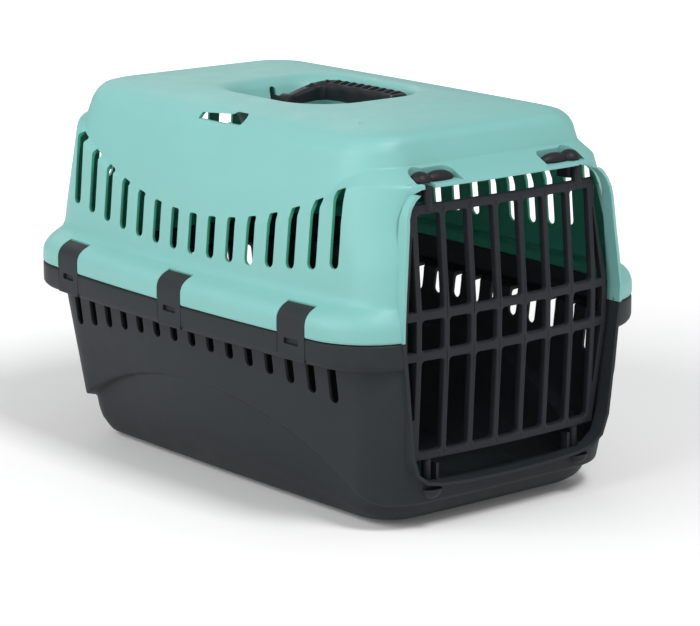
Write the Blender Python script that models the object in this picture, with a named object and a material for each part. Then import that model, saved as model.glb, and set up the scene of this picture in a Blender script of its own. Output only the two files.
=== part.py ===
"""Pet transport carrier: a two-part moulded cabin with a barred front door.

Lower tray, upper shell, one grille door on turned posts, two turn latches, six side clips
and a folding carrying handle on two pivot pins.

Millimetres are used for every size below; MM turns them into Blender metres.
+X is the carrier's right side seen from the door, -Y is the door end, +Z is up, and the
feet stand on z = 0.
"""
import math

import bmesh
import bpy
from mathutils import Matrix, Vector

MM = 0.001

# ---- driving sizes -------------------------------------------------------------------------
RIM_HALF_WIDTH = 162.6      # widest point of the joint rim, at mid length
SIDE_BOW = 2.4e-4           # the long sides curve out: half width loses SIDE_BOW * y * y
END_BOW = 4.1e-4            # the ends curve out the same way along x, most at the rim
WALL = 2.4
JOINT_Z = 151.2             # parting line between tray and shell
JOINT_GAP = 0.35
FLOOR_Z = 3.0               # underside of the tray, above the feet
ROOF_Z = 302.0
ARCH_Z = 84.0               # top of the arched crease on each side of the tray
ARCH_FALL = 1.6e-3
LEDGE_REAR_Z = 34.0         # the arch runs out into a ledge round the ends
LEDGE_FRONT_Z = 22.0
SMILE_Z = 216.0             # lowest point of the shoulder crease on each side of the shell
SMILE_Y = 3.0
SMILE_RISE = 1.47e-3
SHOULDER_FRONT_Z = 263.6    # where the crease runs out over the door and at the rear
SHOULDER_REAR_Z = 271.0
SILL_Z = 34.0               # flat sill inside the door's lower lip
SILL_BACK = -194.0
PAD_Z = 264.2               # flat seats for the latch knobs over the door
SLOT_COUNT = 15
SLOT_PITCH = 23.7
SLOT_WIDTH = 9.4
SLOT_REACH = 190.0          # cutters run past both side walls
SLOT_OVERRUN = 2.6          # upper slots cut on through the narrow ledge over the crease
TRAY_SLOT_TOP = 134.8       # lower slots cut on through the ledge under the rim
TRAY_SLOT_REACH = 149.0
REAR_SLOT_COUNT = 7
REAR_SLOT_PITCH = 25.0
REAR_SLOT_WIDTH = 14.6
REAR_SLOTS_SHELL = (209.5, 263.0)
REAR_SLOTS_TRAY = (104.0, TRAY_SLOT_TOP)
REAR_SLOT_START = 190.0     # the rear cutters run from here out through the end wall
REAR_LEDGE_REACH = 218.0

DOOR_BARS = 8
DOOR_BAR_PITCH = 25.4
DOOR_BAR_WIDTH = 5.0
DOOR_DEPTH = 6.0
DOOR_BOW = 4.6              # how far the door's middle stands ahead of its edges
DOOR_BOW_SPAN = 91.0
DOOR_ROWS = ((55.6, 62.0), (132.8, 139.6), (163.5, 170.3), (242.2, 249.0))
DOOR_FACE = {"bottom": 210.5, "middle": 214.2, "top": 207.1}
DOOR_POST_X = 75.5
DOOR_POST_Y = -207.0
DOOR_POST_R = 3.6
POST_TOP = 262.4
POST_BOTTOM = 35.2

LATCH_Y = -198.5
LATCH_SHAFT_R = 2.4
LATCH_BASE_Z = 264.6

CLIP_Y = (-147.0, -1.5, 143.5)
CLIP_NAMES = ("front", "middle", "rear")
CLIP_WIDTH = 30.0
CLIP_THICK = 2.2
CLIP_SEAT = 2.8             # depth of the seat moulded in rim and flange under a clip
CLIP_GAP = 0.35
CLIP_AXIS_X = -1.1          # from the rim's outer face
CLIP_AXIS_Z = 133.5

HANDLE_MID_Y = 3.0
HANDLE_AXIS_Z = 286.5
HANDLE_HALF = 50.5          # from the middle to the centre of each leg
HANDLE_REACH = 38.4         # from the pivot axis to the centre of the grip
HANDLE_TILT = 0.165         # rise of the folded handle toward its grip
HANDLE_CORNER = 20.0
HANDLE_LEG = (5.6, 4.7)      # half width and half thickness at the pivots
HANDLE_GRIP = (7.8, 7.5)     # and along the grip
HANDLE_BOSS_R = 5.3
HANDLE_PIN_R = 2.6
HANDLE_LIFT = 6.0
RECESS_FLOOR_Z = 272.0

FOOT_R = 7.0
FOOT_X = 78.0
FOOT_Y = 150.0

MINT = (0.337, 0.662, 0.610)
CHARCOAL = (0.060, 0.065, 0.070)
GRILLE_GREY = (0.042, 0.044, 0.048)
LATCH_GREY = (0.036, 0.034, 0.038)
HANDLE_GREY = (0.040, 0.042, 0.044)

CORNER_STEPS = 6
SIDE_STEPS = 8
END_STEPS = 6


# ---- scene helpers -------------------------------------------------------------------------
def clear_scene():
    for old in list(bpy.data.objects):
        bpy.data.objects.remove(old, do_unlink=True)


def material(name, colour, roughness):
    mat = bpy.data.materials.new(name)
    mat.use_nodes = True
    shader = mat.node_tree.nodes["Principled BSDF"]
    shader.inputs["Base Color"].default_value = (*colour, 1.0)
    shader.inputs["Roughness"].default_value = roughness
    shader.inputs["Metallic"].default_value = 0.0
    return mat


def mesh_object(name, verts, faces, mat=None):
    """An object from millimetre points, with its normals turned outward."""
    mesh = bpy.data.meshes.new(name)
    mesh.from_pydata([[c * MM for c in v] for v in verts], [], faces)
    tidy = bmesh.new()
    tidy.from_mesh(mesh)
    bmesh.ops.recalc_face_normals(tidy, faces=tidy.faces)
    tidy.to_mesh(mesh)
    tidy.free()
    obj = bpy.data.objects.new(name, mesh)
    bpy.context.scene.collection.objects.link(obj)
    if mat:
        mesh.materials.append(mat)
    return obj


def loft(name, rings, mat=None):
    """A closed solid through rings of equal length, with flat ends."""
    count = len(rings[0])
    verts = [point for ring in rings for point in ring]
    faces = [list(range(count)), list(range((len(rings) - 1) * count, len(rings) * count))]
    for level in range(len(rings) - 1):
        low = level * count
        high = low + count
        for i in range(count):
            j = (i + 1) % count
            faces.append([low + i, low + j, high + j, high + i])
    return mesh_object(name, verts, faces, mat)


def prism(name, outline_points, axis, low, high, mat=None):
    """A flat outline pushed along an axis. Its points are the other two axes, in order."""
    place = {
        "x": lambda p, d: (d, p[0], p[1]),
        "y": lambda p, d: (p[0], d, p[1]),
        "z": lambda p, d: (p[0], p[1], d),
    }[axis]
    return loft(name, [[place(p, d) for p in outline_points] for d in (low, high)], mat)


def circle(centre, radius, steps=16, start=0.0, turn=360.0):
    """Points round an arc; a full turn leaves out the repeated last point."""
    closed = abs(turn) >= 360.0
    count = steps if closed else steps + 1
    points = []
    for i in range(count):
        angle = math.radians(start + turn * i / steps)
        points.append((centre[0] + radius * math.cos(angle), centre[1] + radius * math.sin(angle)))
    return points


def boolean(target, tool, operation):
    """Apply one exact boolean to target's mesh and drop the tool."""
    step = target.modifiers.new(operation, "BOOLEAN")
    step.operation = operation
    step.solver = "EXACT"
    step.object = tool
    bpy.context.view_layer.update()
    graph = bpy.context.evaluated_depsgraph_get()
    result = bpy.data.meshes.new_from_object(target.evaluated_get(graph))
    target.modifiers.clear()
    target.data = result
    bpy.data.objects.remove(tool, do_unlink=True)


def cut(target, *tools):
    for tool in tools:
        boolean(target, tool, "DIFFERENCE")


def join(target, *tools):
    for tool in tools:
        boolean(target, tool, "UNION")


def merged(name, parts):
    """One tool object from several that don't touch each other."""
    verts = []
    faces = []
    for part in parts:
        base = len(verts)
        verts += [(part.matrix_world @ v.co) / MM for v in part.data.vertices]
        faces += [[base + i for i in face.vertices] for face in part.data.polygons]
        bpy.data.objects.remove(part, do_unlink=True)
    return mesh_object(name, verts, faces)


def smooth(obj, degrees=35.0):
    for face in obj.data.polygons:
        face.use_smooth = True
    obj.data.set_sharp_from_angle(angle=math.radians(degrees))


def set_origin(obj, point):
    """Move the object's origin to a millimetre point without moving its mesh."""
    shift = Vector([c * MM for c in point])
    obj.data.transform(Matrix.Translation(-shift))
    obj.location = shift


# ---- cabin outlines ------------------------------------------------------------------------
def bows(z):
    """How strongly the sides and the ends curve out at a height: most near the rim."""
    low = min(max((z - FLOOR_Z) / 77.0, 0.0), 1.0)
    high = min(max((ROOF_Z - z) / 62.0, 0.0), 1.0)
    end = 1.0e-4 + (END_BOW - 1.0e-4) * max(0.0, 1.0 - abs(z - JOINT_Z) / 70.0)
    return SIDE_BOW * (0.3 + 0.7 * min(low, high)), end


def outline(half_width, front, rear, corners, side_bow=SIDE_BOW, end_bow=END_BOW):
    """Rounded rectangle with bowed sides, counter-clockwise from the front right corner."""
    points = []
    for side, end, reach, corner, start in ((1, -1, front, corners[0], -90),
                                            (1, 1, rear, corners[1], 0),
                                            (-1, 1, rear, corners[1], 90),
                                            (-1, -1, front, corners[0], 180)):
        mid_x = half_width - side_bow * (reach - corner) ** 2 - corner
        mid_y = reach - end_bow * (half_width - corner) ** 2 - corner
        points += circle((side * mid_x, end * mid_y), corner, CORNER_STEPS, start, 90.0)
        if side == end:
            # the rear right corner leads into the rear end, the front left into the front end
            for i in range(1, END_STEPS):
                x = side * mid_x * (1 - 2 * i / END_STEPS)
                points.append((x, end * (reach - end_bow * x * x)))
        else:
            other, bend = (rear, corners[1]) if end < 0 else (front, corners[0])
            first = end * mid_y
            last = -end * (other - end_bow * (half_width - bend) ** 2 - bend)
            for i in range(1, SIDE_STEPS):
                y = first + (last - first) * i / SIDE_STEPS
                points.append((side * (half_width - side_bow * y * y), y))
    return points


def level_outline(level, inset=0.0):
    """A level is (half width, front, rear, front corner, rear corner, height)."""
    half_width, front, rear, front_corner, rear_corner, z = level
    corners = (max(front_corner - inset, 8.0), max(rear_corner - inset, 8.0))
    return outline(half_width - inset, front - inset, rear - inset, corners, *bows(z))


def flat_ring(level, inset=0.0, lift=0.0):
    return [(x, y, level[5] + lift) for x, y in level_outline(level, inset)]


def draped_ring(levels, heights, inset=0.0, lift=0.0):
    """A ring on the wall that the levels describe, with its own height at every point."""
    walls = [level_outline(level, inset) for level in levels]
    points = []
    for i, z in enumerate(heights):
        k = 0
        while k < len(levels) - 2 and z > levels[k + 1][5]:
            k += 1
        part = (z - levels[k][5]) / (levels[k + 1][5] - levels[k][5])
        (x0, y0), (x1, y1) = walls[k][i], walls[k + 1][i]
        points.append((x0 + (x1 - x0) * part, y0 + (y1 - y0) * part, z + lift))
    return points


def mixed_ring(first, second, parts, heights):
    """Between two rings in plan, by a share for each point, at the given heights."""
    return [(a[0] + (b[0] - a[0]) * part, a[1] + (b[1] - a[1]) * part, z)
            for a, b, part, z in zip(first, second, parts, heights)]


# ---- lower tray ----------------------------------------------------------------------------
TRAY_FLOOR = (98.0, 184.0, 178.0, 24.0, 24.0, FLOOR_Z)
TRAY_BASE = (104.8, 191.0, 184.0, 30.0, 30.0, FLOOR_Z + 1.5)
TRAY_SKIRT = (117.0, 206.0, 193.8, 38.0, 36.0, 28.0)
TRAY_WALL = ((124.6, 212.0, 194.6, 44.0, 38.0, 20.0),
             (127.0, 217.0, 196.4, 40.0, 38.0, 34.0),
             (134.7, 222.6, 204.6, 38.0, 38.0, 80.0),
             (136.2, 223.4, 206.4, 38.0, 38.0, 94.0),
             (140.6, 224.6, 212.6, 39.0, 39.0, 127.0))
TRAY_RIM = ((141.4, 225.0, 213.4, 40.0, 40.0, 129.6),
            (158.6, 225.0, 222.2, 54.0, 54.0, 130.8),
            (162.0, 226.4, 225.6, 56.6, 56.6, 134.0),
            (162.4, 226.9, 226.3, 56.8, 56.8, JOINT_Z - JOINT_GAP))
TRAY_GUTTER = ((157.2, 221.8, 221.2, 52.0, 52.0, JOINT_Z - JOINT_GAP),
               (157.2, 221.8, 221.2, 52.0, 52.0, 134.4),
               (138.4, 221.8, 210.6, 37.0, 37.0, 133.0))
BASE_PROFILE = ((0.14, 0.27), (0.35, 0.61), (0.59, 0.81))


def ledge_height(y):
    return LEDGE_FRONT_Z if y < 0 else LEDGE_REAR_Z


def arch_height(y):
    return max(ledge_height(y), ARCH_Z - ARCH_FALL * y * y)


def tray_skirt_rings(inset, lift):
    """From the base up to the arched crease, which is the last ring."""
    base = flat_ring(TRAY_BASE, inset)
    heights = [arch_height(y) for x, y in level_outline(TRAY_WALL[1])]
    crease = draped_ring(TRAY_WALL, heights, inset, lift)
    tucked = draped_ring(TRAY_WALL, heights, inset + 1.5)
    skirt = flat_ring(TRAY_SKIRT, inset)
    ledges = [ledge_height(point[1]) for point in skirt]
    shares = [(z - ledge) / (ARCH_Z - ledge) for z, ledge in zip(heights, ledges)]
    unders = [z - 1.9 + lift for z in heights]
    below = mixed_ring(skirt, tucked, shares, unders)
    rings = [base]
    for rise, reach in BASE_PROFILE:
        levels = [base[0][2] + (z - base[0][2]) * rise for z in unders]
        rings.append(mixed_ring(base, below, [reach] * len(base), levels))
    return rings + [below, crease]


def tray_rings():
    rings = [flat_ring(TRAY_FLOOR), *tray_skirt_rings(0.0, 0.0)]
    rings += [flat_ring(level) for level in (*TRAY_WALL[3:], *TRAY_RIM, *TRAY_GUTTER)]
    rings += [flat_ring(level, WALL) for level in reversed(TRAY_WALL[3:])]
    rings += reversed(tray_skirt_rings(WALL, WALL))
    rings.append(flat_ring(TRAY_FLOOR, WALL, WALL))
    return rings


def lower_slot_bottom(y):
    """The row of tray slots is longest at its ends."""
    return 112.4 - 5.0e-4 * y * y


def rear_slots(heights, reach):
    """The row of wider slots through the rear end wall."""
    low, high = heights
    half = REAR_SLOT_WIDTH / 2
    tools = []
    for i in range(REAR_SLOT_COUNT):
        x = (i - (REAR_SLOT_COUNT - 1) / 2) * REAR_SLOT_PITCH
        points = [(x + half, high), (x - half, high)]
        points += circle((x, low + half), half, 6, 180.0, 180.0)
        tools.append(prism("slot", points, "y", REAR_SLOT_START, reach))
    return merged("rear_slots", tools)


def tray_slots():
    tools = []
    for i in range(SLOT_COUNT):
        y = (i - (SLOT_COUNT - 1) / 2) * SLOT_PITCH
        half = SLOT_WIDTH / 2
        reach = TRAY_SLOT_REACH - SIDE_BOW * y * y
        points = [(y + half, TRAY_SLOT_TOP), (y - half, TRAY_SLOT_TOP)]
        points += circle((y, lower_slot_bottom(y) + half), half, 5, 180.0, 180.0)
        tools.append(prism("slot", points, "x", -reach, reach))
    return merged("slots", tools)


# ---- front opening, shared by tray and shell -------------------------------------------------
OPENING_SIDE = ((109.2, 152.0), (106.4, 130.0), (103.6, 105.0), (101.2, 83.0), (98.8, 63.0),
                (93.6, 48.0), (84.0, 41.0), (70.0, 38.0), (44.0, 36.0), (16.0, 35.2))
OPENING_TOP = ((109.2, 165.0), (107.0, 188.0), (104.6, 209.0), (102.0, 235.4))
OPENING_TOP_CORNER = 26.0
COLLAR = 2.6                # width of the raised border round the opening
COLLAR_BACK = -208.0
COLLAR_FRONT = ((30.0, 220.0), (60.0, 221.2), (150.0, 222.0), (165.0, 222.4), (188.0, 221.0),
                (209.0, 219.6), (235.4, 218.2), (249.0, 215.8), (266.0, 214.6))
COLLAR_GAP_X = 84.0         # no border over the door posts and latches
COLLAR_TOP = 258.0


def opening_points(grow=0.0):
    """Half outline from the bottom up, mirrored; grow widens it."""
    corner = (OPENING_TOP[-1][0] - OPENING_TOP_CORNER, OPENING_TOP[-1][1])
    half = [*reversed(OPENING_SIDE), *OPENING_TOP]
    spread = []
    for i, (x, z) in enumerate(half):
        before = half[max(i - 1, 0)]
        after = half[min(i + 1, len(half) - 1)]
        dx, dz = after[0] - before[0], after[1] - before[1]
        size = math.hypot(dx, dz)
        spread.append((x + grow * dz / size, z - grow * dx / size))
    spread += circle(corner, OPENING_TOP_CORNER + grow, 6, 0.0, 90.0)[1:]
    return spread + [(-x, z) for x, z in reversed(spread)]


def collar_front(z):
    for (z0, y0), (z1, y1) in zip(COLLAR_FRONT, COLLAR_FRONT[1:]):
        if z <= z1:
            return -(y0 + (y1 - y0) * (z - z0) / (z1 - z0))
    return -COLLAR_FRONT[-1][1]


def front_opening(name):
    return prism(name, opening_points(), "y", -262.0, -165.0)


def collar(name, low, high):
    """The raised border round the opening, between two heights, without its middle."""
    points = opening_points(COLLAR)
    count = len(points)
    verts = [(x, COLLAR_BACK, z) for x, z in points]
    verts += [(x, collar_front(z), z) for x, z in points]
    faces = [[i, (i + 1) % count, count + (i + 1) % count, count + i] for i in range(count)]
    for i in range(count // 2 - 1):
        j = count - 1 - i
        faces += [[i, i + 1, j - 1, j], [count + i, count + i + 1, count + j - 1, count + j]]
    band = mesh_object(name, verts, faces)
    keep = prism("keep", [(-140.0, low), (140.0, low), (140.0, high), (-140.0, high)],
                 "y", -250.0, -190.0)
    boolean(band, keep, "INTERSECT")
    return band


def clip_frame(side, y):
    """Placement of a clip's own axes: +x outward, y along the rim, at the rim's outer face."""
    swing = math.atan(2 * SIDE_BOW * y)
    turn = swing if side > 0 else math.pi - swing
    spot = Vector((side * (RIM_HALF_WIDTH - SIDE_BOW * y * y), y, 0.0)) * MM
    return Matrix.Translation(spot) @ Matrix.Rotation(turn, 4, "Z")


def clip_seats(name):
    """Seats for all six clips, cut from both the tray's rim and the shell's flange."""
    profile = [(-CLIP_SEAT, 127.0), (-CLIP_SEAT, 162.4), (-4.6, 166.4), (-8.4, 169.2),
               (-13.4, 171.2), (-13.4, 190.0), (14.0, 190.0), (14.0, 127.0)]
    half = CLIP_WIDTH / 2 + 0.45
    tools = []
    for side in (1, -1):
        for y in CLIP_Y:
            tool = prism("seat", profile, "y", -half, half)
            tool.matrix_world = clip_frame(side, y)
            tools.append(tool)
    bpy.context.view_layer.update()
    return merged(name, tools)


def add_sill(tray):
    """The flat sill behind the opening's lower lip, ended by the tray's own outer shape."""
    sill = prism("sill", [(-118.0, -230.0), (118.0, -230.0), (118.0, SILL_BACK),
                          (-118.0, SILL_BACK)], "z", SILL_Z - WALL, SILL_Z)
    levels = [*tray_skirt_rings(0.2, 0.0), flat_ring(TRAY_WALL[3], 0.2)]
    boolean(sill, loft("outer", levels), "INTERSECT")
    join(tray, sill)


def build_tray(mat):
    tray = loft("bottom_tray", tray_rings(), mat)
    add_sill(tray)
    join(tray, collar("collar", 30.0, JOINT_Z - JOINT_GAP))
    cut(tray, front_opening("opening"), tray_slots(),
        rear_slots(REAR_SLOTS_TRAY, REAR_LEDGE_REACH), clip_seats("seats"))
    for side in (1, -1):
        # round socket under the lip, and the snap finger that stands beside the door's pin
        x = side * DOOR_POST_X
        join(tray, prism("socket", circle((x, -212.4), 9.4, 16), "z", 24.4, SILL_Z - 0.6))
        finger = [(x - side * 6.6, -211.0), (x - side * 9.2, -211.0),
                  (x - side * 9.2, -204.0), (x - side * 6.6, -204.0)]
        join(tray, prism("finger", finger, "z", SILL_Z - 1.0, 51.0))
        hole = circle((x, DOOR_POST_Y), DOOR_POST_R + 0.8, 16)
        cut(tray, prism("hole", hole, "z", SILL_Z + 0.4, 60.0))
    for side in (1, -1):
        for end in (1, -1):
            spot = (side * FOOT_X, end * FOOT_Y)
            join(tray, prism("foot", circle(spot, FOOT_R, 16), "z", 0.0, FLOOR_Z + 1.0))
    smooth(tray)
    return tray


# ---- upper shell ---------------------------------------------------------------------------
SHELL_RIM = ((162.6, 227.1, 226.5, 57.0, 57.0, JOINT_Z),
             (162.6, 226.2, 224.6, 57.0, 57.0, 162.5),
             (161.0, 224.2, 221.6, 56.0, 56.0, 167.0),
             (157.0, 222.4, 218.8, 53.0, 53.0, 170.8),
             (150.4, 221.6, 216.8, 48.0, 48.0, 173.8),
             (143.8, 221.4, 215.4, 44.0, 44.0, 176.4),
             (140.6, 221.2, 214.0, 41.0, 41.0, 180.2))
SHELL_WALL = ((139.5, 220.6, 212.8, 40.0, 40.0, 185.0),
              (135.9, 216.4, 206.8, 40.0, 40.0, 224.0),
              (133.4, 214.8, 205.8, 50.0, 43.0, 248.0),
              (132.4, 214.6, 206.4, 62.0, 46.0, 258.0),
              (130.4, 212.2, 205.4, 66.0, 48.0, 264.0),
              (129.4, 211.4, 203.0, 66.0, 50.0, 272.0))
SHELL_DOME = ((136.7, 193.0, 207.0, 40.0, 40.0, 216.0),
              (130.6, 192.4, 203.6, 42.0, 42.0, 245.0),
              (124.8, 191.6, 201.6, 42.0, 42.0, 262.0),
              (120.8, 190.6, 199.8, 42.0, 42.0, 272.0),
              (118.4, 188.2, 196.8, 40.0, 40.0, 279.0),
              (115.2, 185.8, 193.6, 36.0, 36.0, 286.0))
SHELL_ROOF = ((109.6, 184.0, 191.2, 33.0, 33.0, 292.2),
              (103.2, 180.4, 187.6, 30.0, 30.0, 296.6),
              (94.0, 171.0, 178.0, 27.0, 27.0, 299.2),
              (78.0, 152.0, 160.0, 24.0, 24.0, 301.0),
              (66.0, 134.0, 146.0, 20.0, 20.0, ROOF_Z))
FLANGE_INSIDE = ((157.6, 222.0, 221.4, 52.0, 52.0, JOINT_Z),
                 (157.6, 221.0, 219.6, 52.0, 52.0, 162.4),
                 (151.0, 219.4, 215.0, 48.0, 48.0, 168.8),
                 (140.4, 218.4, 212.6, 42.0, 42.0, 172.6))
WALL_HEIGHT = 204.0
DOME_TOP_Z = 279.0


def shoulder_height(y):
    """The smile-shaped crease that the upper slots stop at."""
    cap = SHOULDER_FRONT_Z if y < 0 else SHOULDER_REAR_Z
    return min(cap, SMILE_Z + SMILE_RISE * (y - SMILE_Y) ** 2)


def shoulder_rise(y):
    """The sloping band over the crease, tallest over the door."""
    front = min(max((-y - 150.0) / 45.0, 0.0), 1.0)
    return 1.2 + 9.6 * front


def shell_wall_rings(inset, drop):
    """From the flange's top up to the roof's edge, past the shoulder crease."""
    ys = [y for x, y in level_outline(SHELL_WALL[3])]
    creases = [shoulder_height(y) for y in ys]
    starts = [z + shoulder_rise(y) for y, z in zip(ys, creases)]
    rings = [flat_ring(SHELL_WALL[0], inset)]
    rings.append(draped_ring(SHELL_WALL, [WALL_HEIGHT] * len(ys), inset))
    rings.append(draped_ring(SHELL_WALL, creases, inset, -drop))
    for share in (0.0, 0.4, 0.75, 1.0):
        heights = [z + (DOME_TOP_Z - z) * share for z in starts]
        rings.append(draped_ring(SHELL_DOME, heights, inset, -drop * (1.0 - 0.5 * share)))
    rings.append(flat_ring(SHELL_DOME[-1], inset, -0.6 * drop))
    return rings


def shell_rings():
    """Outside from the roof down to the joint, then back up inside the flange and wall."""
    rings = [flat_ring(level) for level in reversed(SHELL_ROOF)]
    rings += reversed(shell_wall_rings(0.0, 0.0))
    rings += [flat_ring(level) for level in reversed(SHELL_RIM)]
    rings += [flat_ring(level) for level in FLANGE_INSIDE]
    rings += shell_wall_rings(WALL, WALL)
    for level, inset, drop in zip(SHELL_ROOF, (2.0, 1.5, 1.0, 0.5, 0.0),
                                  (1.6, 1.9, 2.1, 2.3, WALL)):
        rings.append(flat_ring(level, inset, -drop))
    return rings


def upper_slot_bottom(y):
    return 186.5 + 5.2e-4 * y * y


def shell_slots():
    tools = []
    for i in range(SLOT_COUNT):
        y = (i - (SLOT_COUNT - 1) / 2) * SLOT_PITCH
        half = SLOT_WIDTH / 2
        points = [(y + half, shoulder_height(y + half) + SLOT_OVERRUN),
                  (y - half, shoulder_height(y - half) + SLOT_OVERRUN)]
        points += circle((y, upper_slot_bottom(y) + half), half, 5, 180.0, 180.0)
        tools.append(prism("slot", points, "x", -SLOT_REACH, SLOT_REACH))
    return merged("slots", tools)


def recess_rings(grow, floor, *brim):
    """The rounded well in the roof that the handle folds into."""
    levels = ((50.0, 58.0, 68.0, 34.0, floor),
              (57.0, 59.0, 74.0, 38.0, 294.0),
              (61.0, 60.2, 85.0, 42.0, 300.6),
              *brim)
    return [[(x, y, z) for x, y in outline(w + grow, f + grow, r + grow, (c + grow, c + grow),
                                           0.0, 0.0)]
            for w, f, r, c, z in levels]


def knob_pad(side, grow, low, high):
    """A level seat for a latch knob, open toward the door."""
    start, stop = 43.0 - grow, 86.5 + grow
    back = -189.0 + grow
    bend = 8.0
    points = [(start, -232.0), (stop, -232.0)]
    points += circle((stop - bend, back - bend), bend, 3, 0.0, 90.0)
    points += circle((start + bend, back - bend), bend, 3, 90.0, 90.0)
    return prism("pad", [(side * x, y) for x, y in points], "z", low, high)


def add_knob_pads(shell):
    """Fill under each seat from the band's own outer shape, then cut it level."""
    levels = [*shell_wall_rings(0.0, 0.0), *(flat_ring(level) for level in SHELL_ROOF)]
    for side in (1, -1):
        block = knob_pad(side, WALL, PAD_Z - WALL, 285.0)
        boolean(block, loft("outer", levels), "INTERSECT")
        join(shell, block)
        cut(shell, knob_pad(side, 0.0, PAD_Z, 292.0))


def strap_slots():
    """A narrow slot with a wider thumb notch at its front end, through each shoulder."""
    tools = []
    for side in (1, -1):
        narrow = [(-14.0, 287.6), (22.5, 287.6), (22.5, 292.2), (-14.0, 294.8)]
        wide = [*circle((-26.9, 292.4), 4.1, 6, 90.0, 180.0),
                *circle((-16.6, 292.4), 4.1, 6, -90.0, 180.0)]
        tools.append(prism("strap", narrow, "x", side * 90.0, side * 134.0))
        tools.append(prism("thumb", wide, "x", side * 90.0, side * 134.0))
    return tools


def build_shell(mat):
    shell = loft("top_shell", shell_rings(), mat)
    join(shell, loft("well", recess_rings(WALL, RECESS_FLOOR_Z - WALL)))
    brim = (66.0, 65.0, 96.0, 47.0, 308.0)
    cut(shell, loft("well_inside", recess_rings(0.0, RECESS_FLOOR_Z, brim)))
    border = collar("collar", JOINT_Z, COLLAR_TOP)
    middle = [(-COLLAR_GAP_X, 140.0), (COLLAR_GAP_X, 140.0), (COLLAR_GAP_X, 280.0),
              (-COLLAR_GAP_X, 280.0)]
    cut(border, prism("middle", middle, "y", -250.0, -190.0))
    join(shell, border)
    add_knob_pads(shell)
    cut(shell, front_opening("opening"), shell_slots(), rear_slots(REAR_SLOTS_SHELL, 230.0),
        clip_seats("seats"), *strap_slots())
    pin_slot = [*circle((0.0, HANDLE_AXIS_Z), HANDLE_PIN_R + 0.4, 8, 180.0, 180.0),
                *circle((0.0, HANDLE_AXIS_Z + HANDLE_LIFT), HANDLE_PIN_R + 0.4, 8, 0.0, 180.0)]
    cut(shell, prism("pin_slot", pin_slot, "y", 62.0, 80.0),
        prism("pin_slot", pin_slot, "y", -68.0, -54.0))
    for side in (1, -1):
        x = side * DOOR_POST_X
        notch = [*circle((x, DOOR_POST_Y), DOOR_POST_R + 0.7, 8, 0.0, 180.0),
                 (x - DOOR_POST_R - 0.7, -232.0), (x + DOOR_POST_R + 0.7, -232.0)]
        hole = circle((x, LATCH_Y), LATCH_SHAFT_R + 0.3, 16)
        cut(shell, prism("notch", notch, "z", 254.0, 275.0), prism("hole", hole, "z", 254.0, 275.0))
    smooth(shell)
    return shell


# ---- door ----------------------------------------------------------------------------------
def door_face(x, z):
    """Front face of the door: folded at the middle band and bowed from side to side."""
    low, high = DOOR_ROWS[1][0], DOOR_ROWS[2][1]
    if z < low:
        part = (z - DOOR_ROWS[0][0]) / (low - DOOR_ROWS[0][0])
        reach = DOOR_FACE["bottom"] + (DOOR_FACE["middle"] - DOOR_FACE["bottom"]) * part
    elif z > high:
        part = (z - high) / (DOOR_ROWS[3][1] - high)
        reach = DOOR_FACE["middle"] + (DOOR_FACE["top"] - DOOR_FACE["middle"]) * part
    else:
        reach = DOOR_FACE["middle"]
    return -reach - DOOR_BOW * (1 - (x / DOOR_BOW_SPAN) ** 2)


# heights where the slanting outer stile changes, with its outer edge and its inner edge
DOOR_STILE = ((55.6, 90.5, None), (62.0, 94.0, None), (88.0, 98.2, 92.9), (132.8, 103.8, 98.6),
              (139.6, 104.6, 99.4), (163.5, 104.6, 99.4), (170.3, 103.8, 98.6),
              (226.0, 94.0, 92.9), (242.2, 92.2, None), (249.0, 90.5, None))


def build_door(mat):
    """A grid of cells, solid where a bar runs, given depth front to back."""
    edge = DOOR_BAR_PITCH * (DOOR_BARS - 1) / 2 + DOOR_BAR_WIDTH / 2
    bars = []
    for i in range(DOOR_BARS):
        middle = (i - (DOOR_BARS - 1) / 2) * DOOR_BAR_PITCH
        bars += [middle - DOOR_BAR_WIDTH / 2, middle + DOOR_BAR_WIDTH / 2]
    rows = []
    for z, outer, inner in DOOR_STILE:
        outer = max(outer, edge + 1.0)
        inner = (edge + outer) / 2 if inner is None else inner
        rows.append((z, [-outer, -inner, *bars, inner, outer]))
    columns = len(rows[0][1]) - 1
    cross_bars = {0, 3, 5, 8}       # row gaps filled from side to side
    closed_corners = {1, 7}         # row gaps where the stile has joined the last bar
    # columns run: stile, gap, bar, gap, ... bar, gap, stile
    solid_columns = {0, columns - 1, *range(2, columns - 1, 2)}

    def solid(row, column):
        if not (0 <= row < len(rows) - 1 and 0 <= column < columns):
            return False
        if row in cross_bars:
            return True
        if row in closed_corners and column in (1, columns - 2):
            return True
        return column in solid_columns

    width = columns + 1
    verts = []
    for z, xs in rows:
        verts += [(x, door_face(x, z), z) for x in xs]
    back = len(verts)
    verts += [(x, y + DOOR_DEPTH, z) for x, y, z in verts]
    faces = []
    for row in range(len(rows) - 1):
        for column in range(columns):
            if not solid(row, column):
                continue
            a = row * width + column
            b, c, d = a + 1, a + 1 + width, a + width
            faces += [[a, b, c, d], [d + back, c + back, b + back, a + back]]
            for near, far, start, end in ((row - 1, column, a, b), (row, column + 1, b, c),
                                          (row + 1, column, c, d), (row, column - 1, d, a)):
                if not solid(near, far):
                    faces.append([end, start, start + back, end + back])
    used = sorted({i for face in faces for i in face})
    index = {old: new for new, old in enumerate(used)}
    door = mesh_object("door_grille", [verts[i] for i in used],
                       [[index[i] for i in face] for face in faces], mat)
    for side in (1, -1):
        spot = (side * DOOR_POST_X, DOOR_POST_Y)
        join(door, prism("post", circle(spot, DOOR_POST_R, 16), "z", 244.0, POST_TOP))
        join(door, prism("pin", circle(spot, DOOR_POST_R, 16), "z", POST_BOTTOM, 60.0))
    smooth(door, 25.0)
    set_origin(door, (DOOR_POST_X, DOOR_POST_Y, 0.0))
    return door


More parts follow.
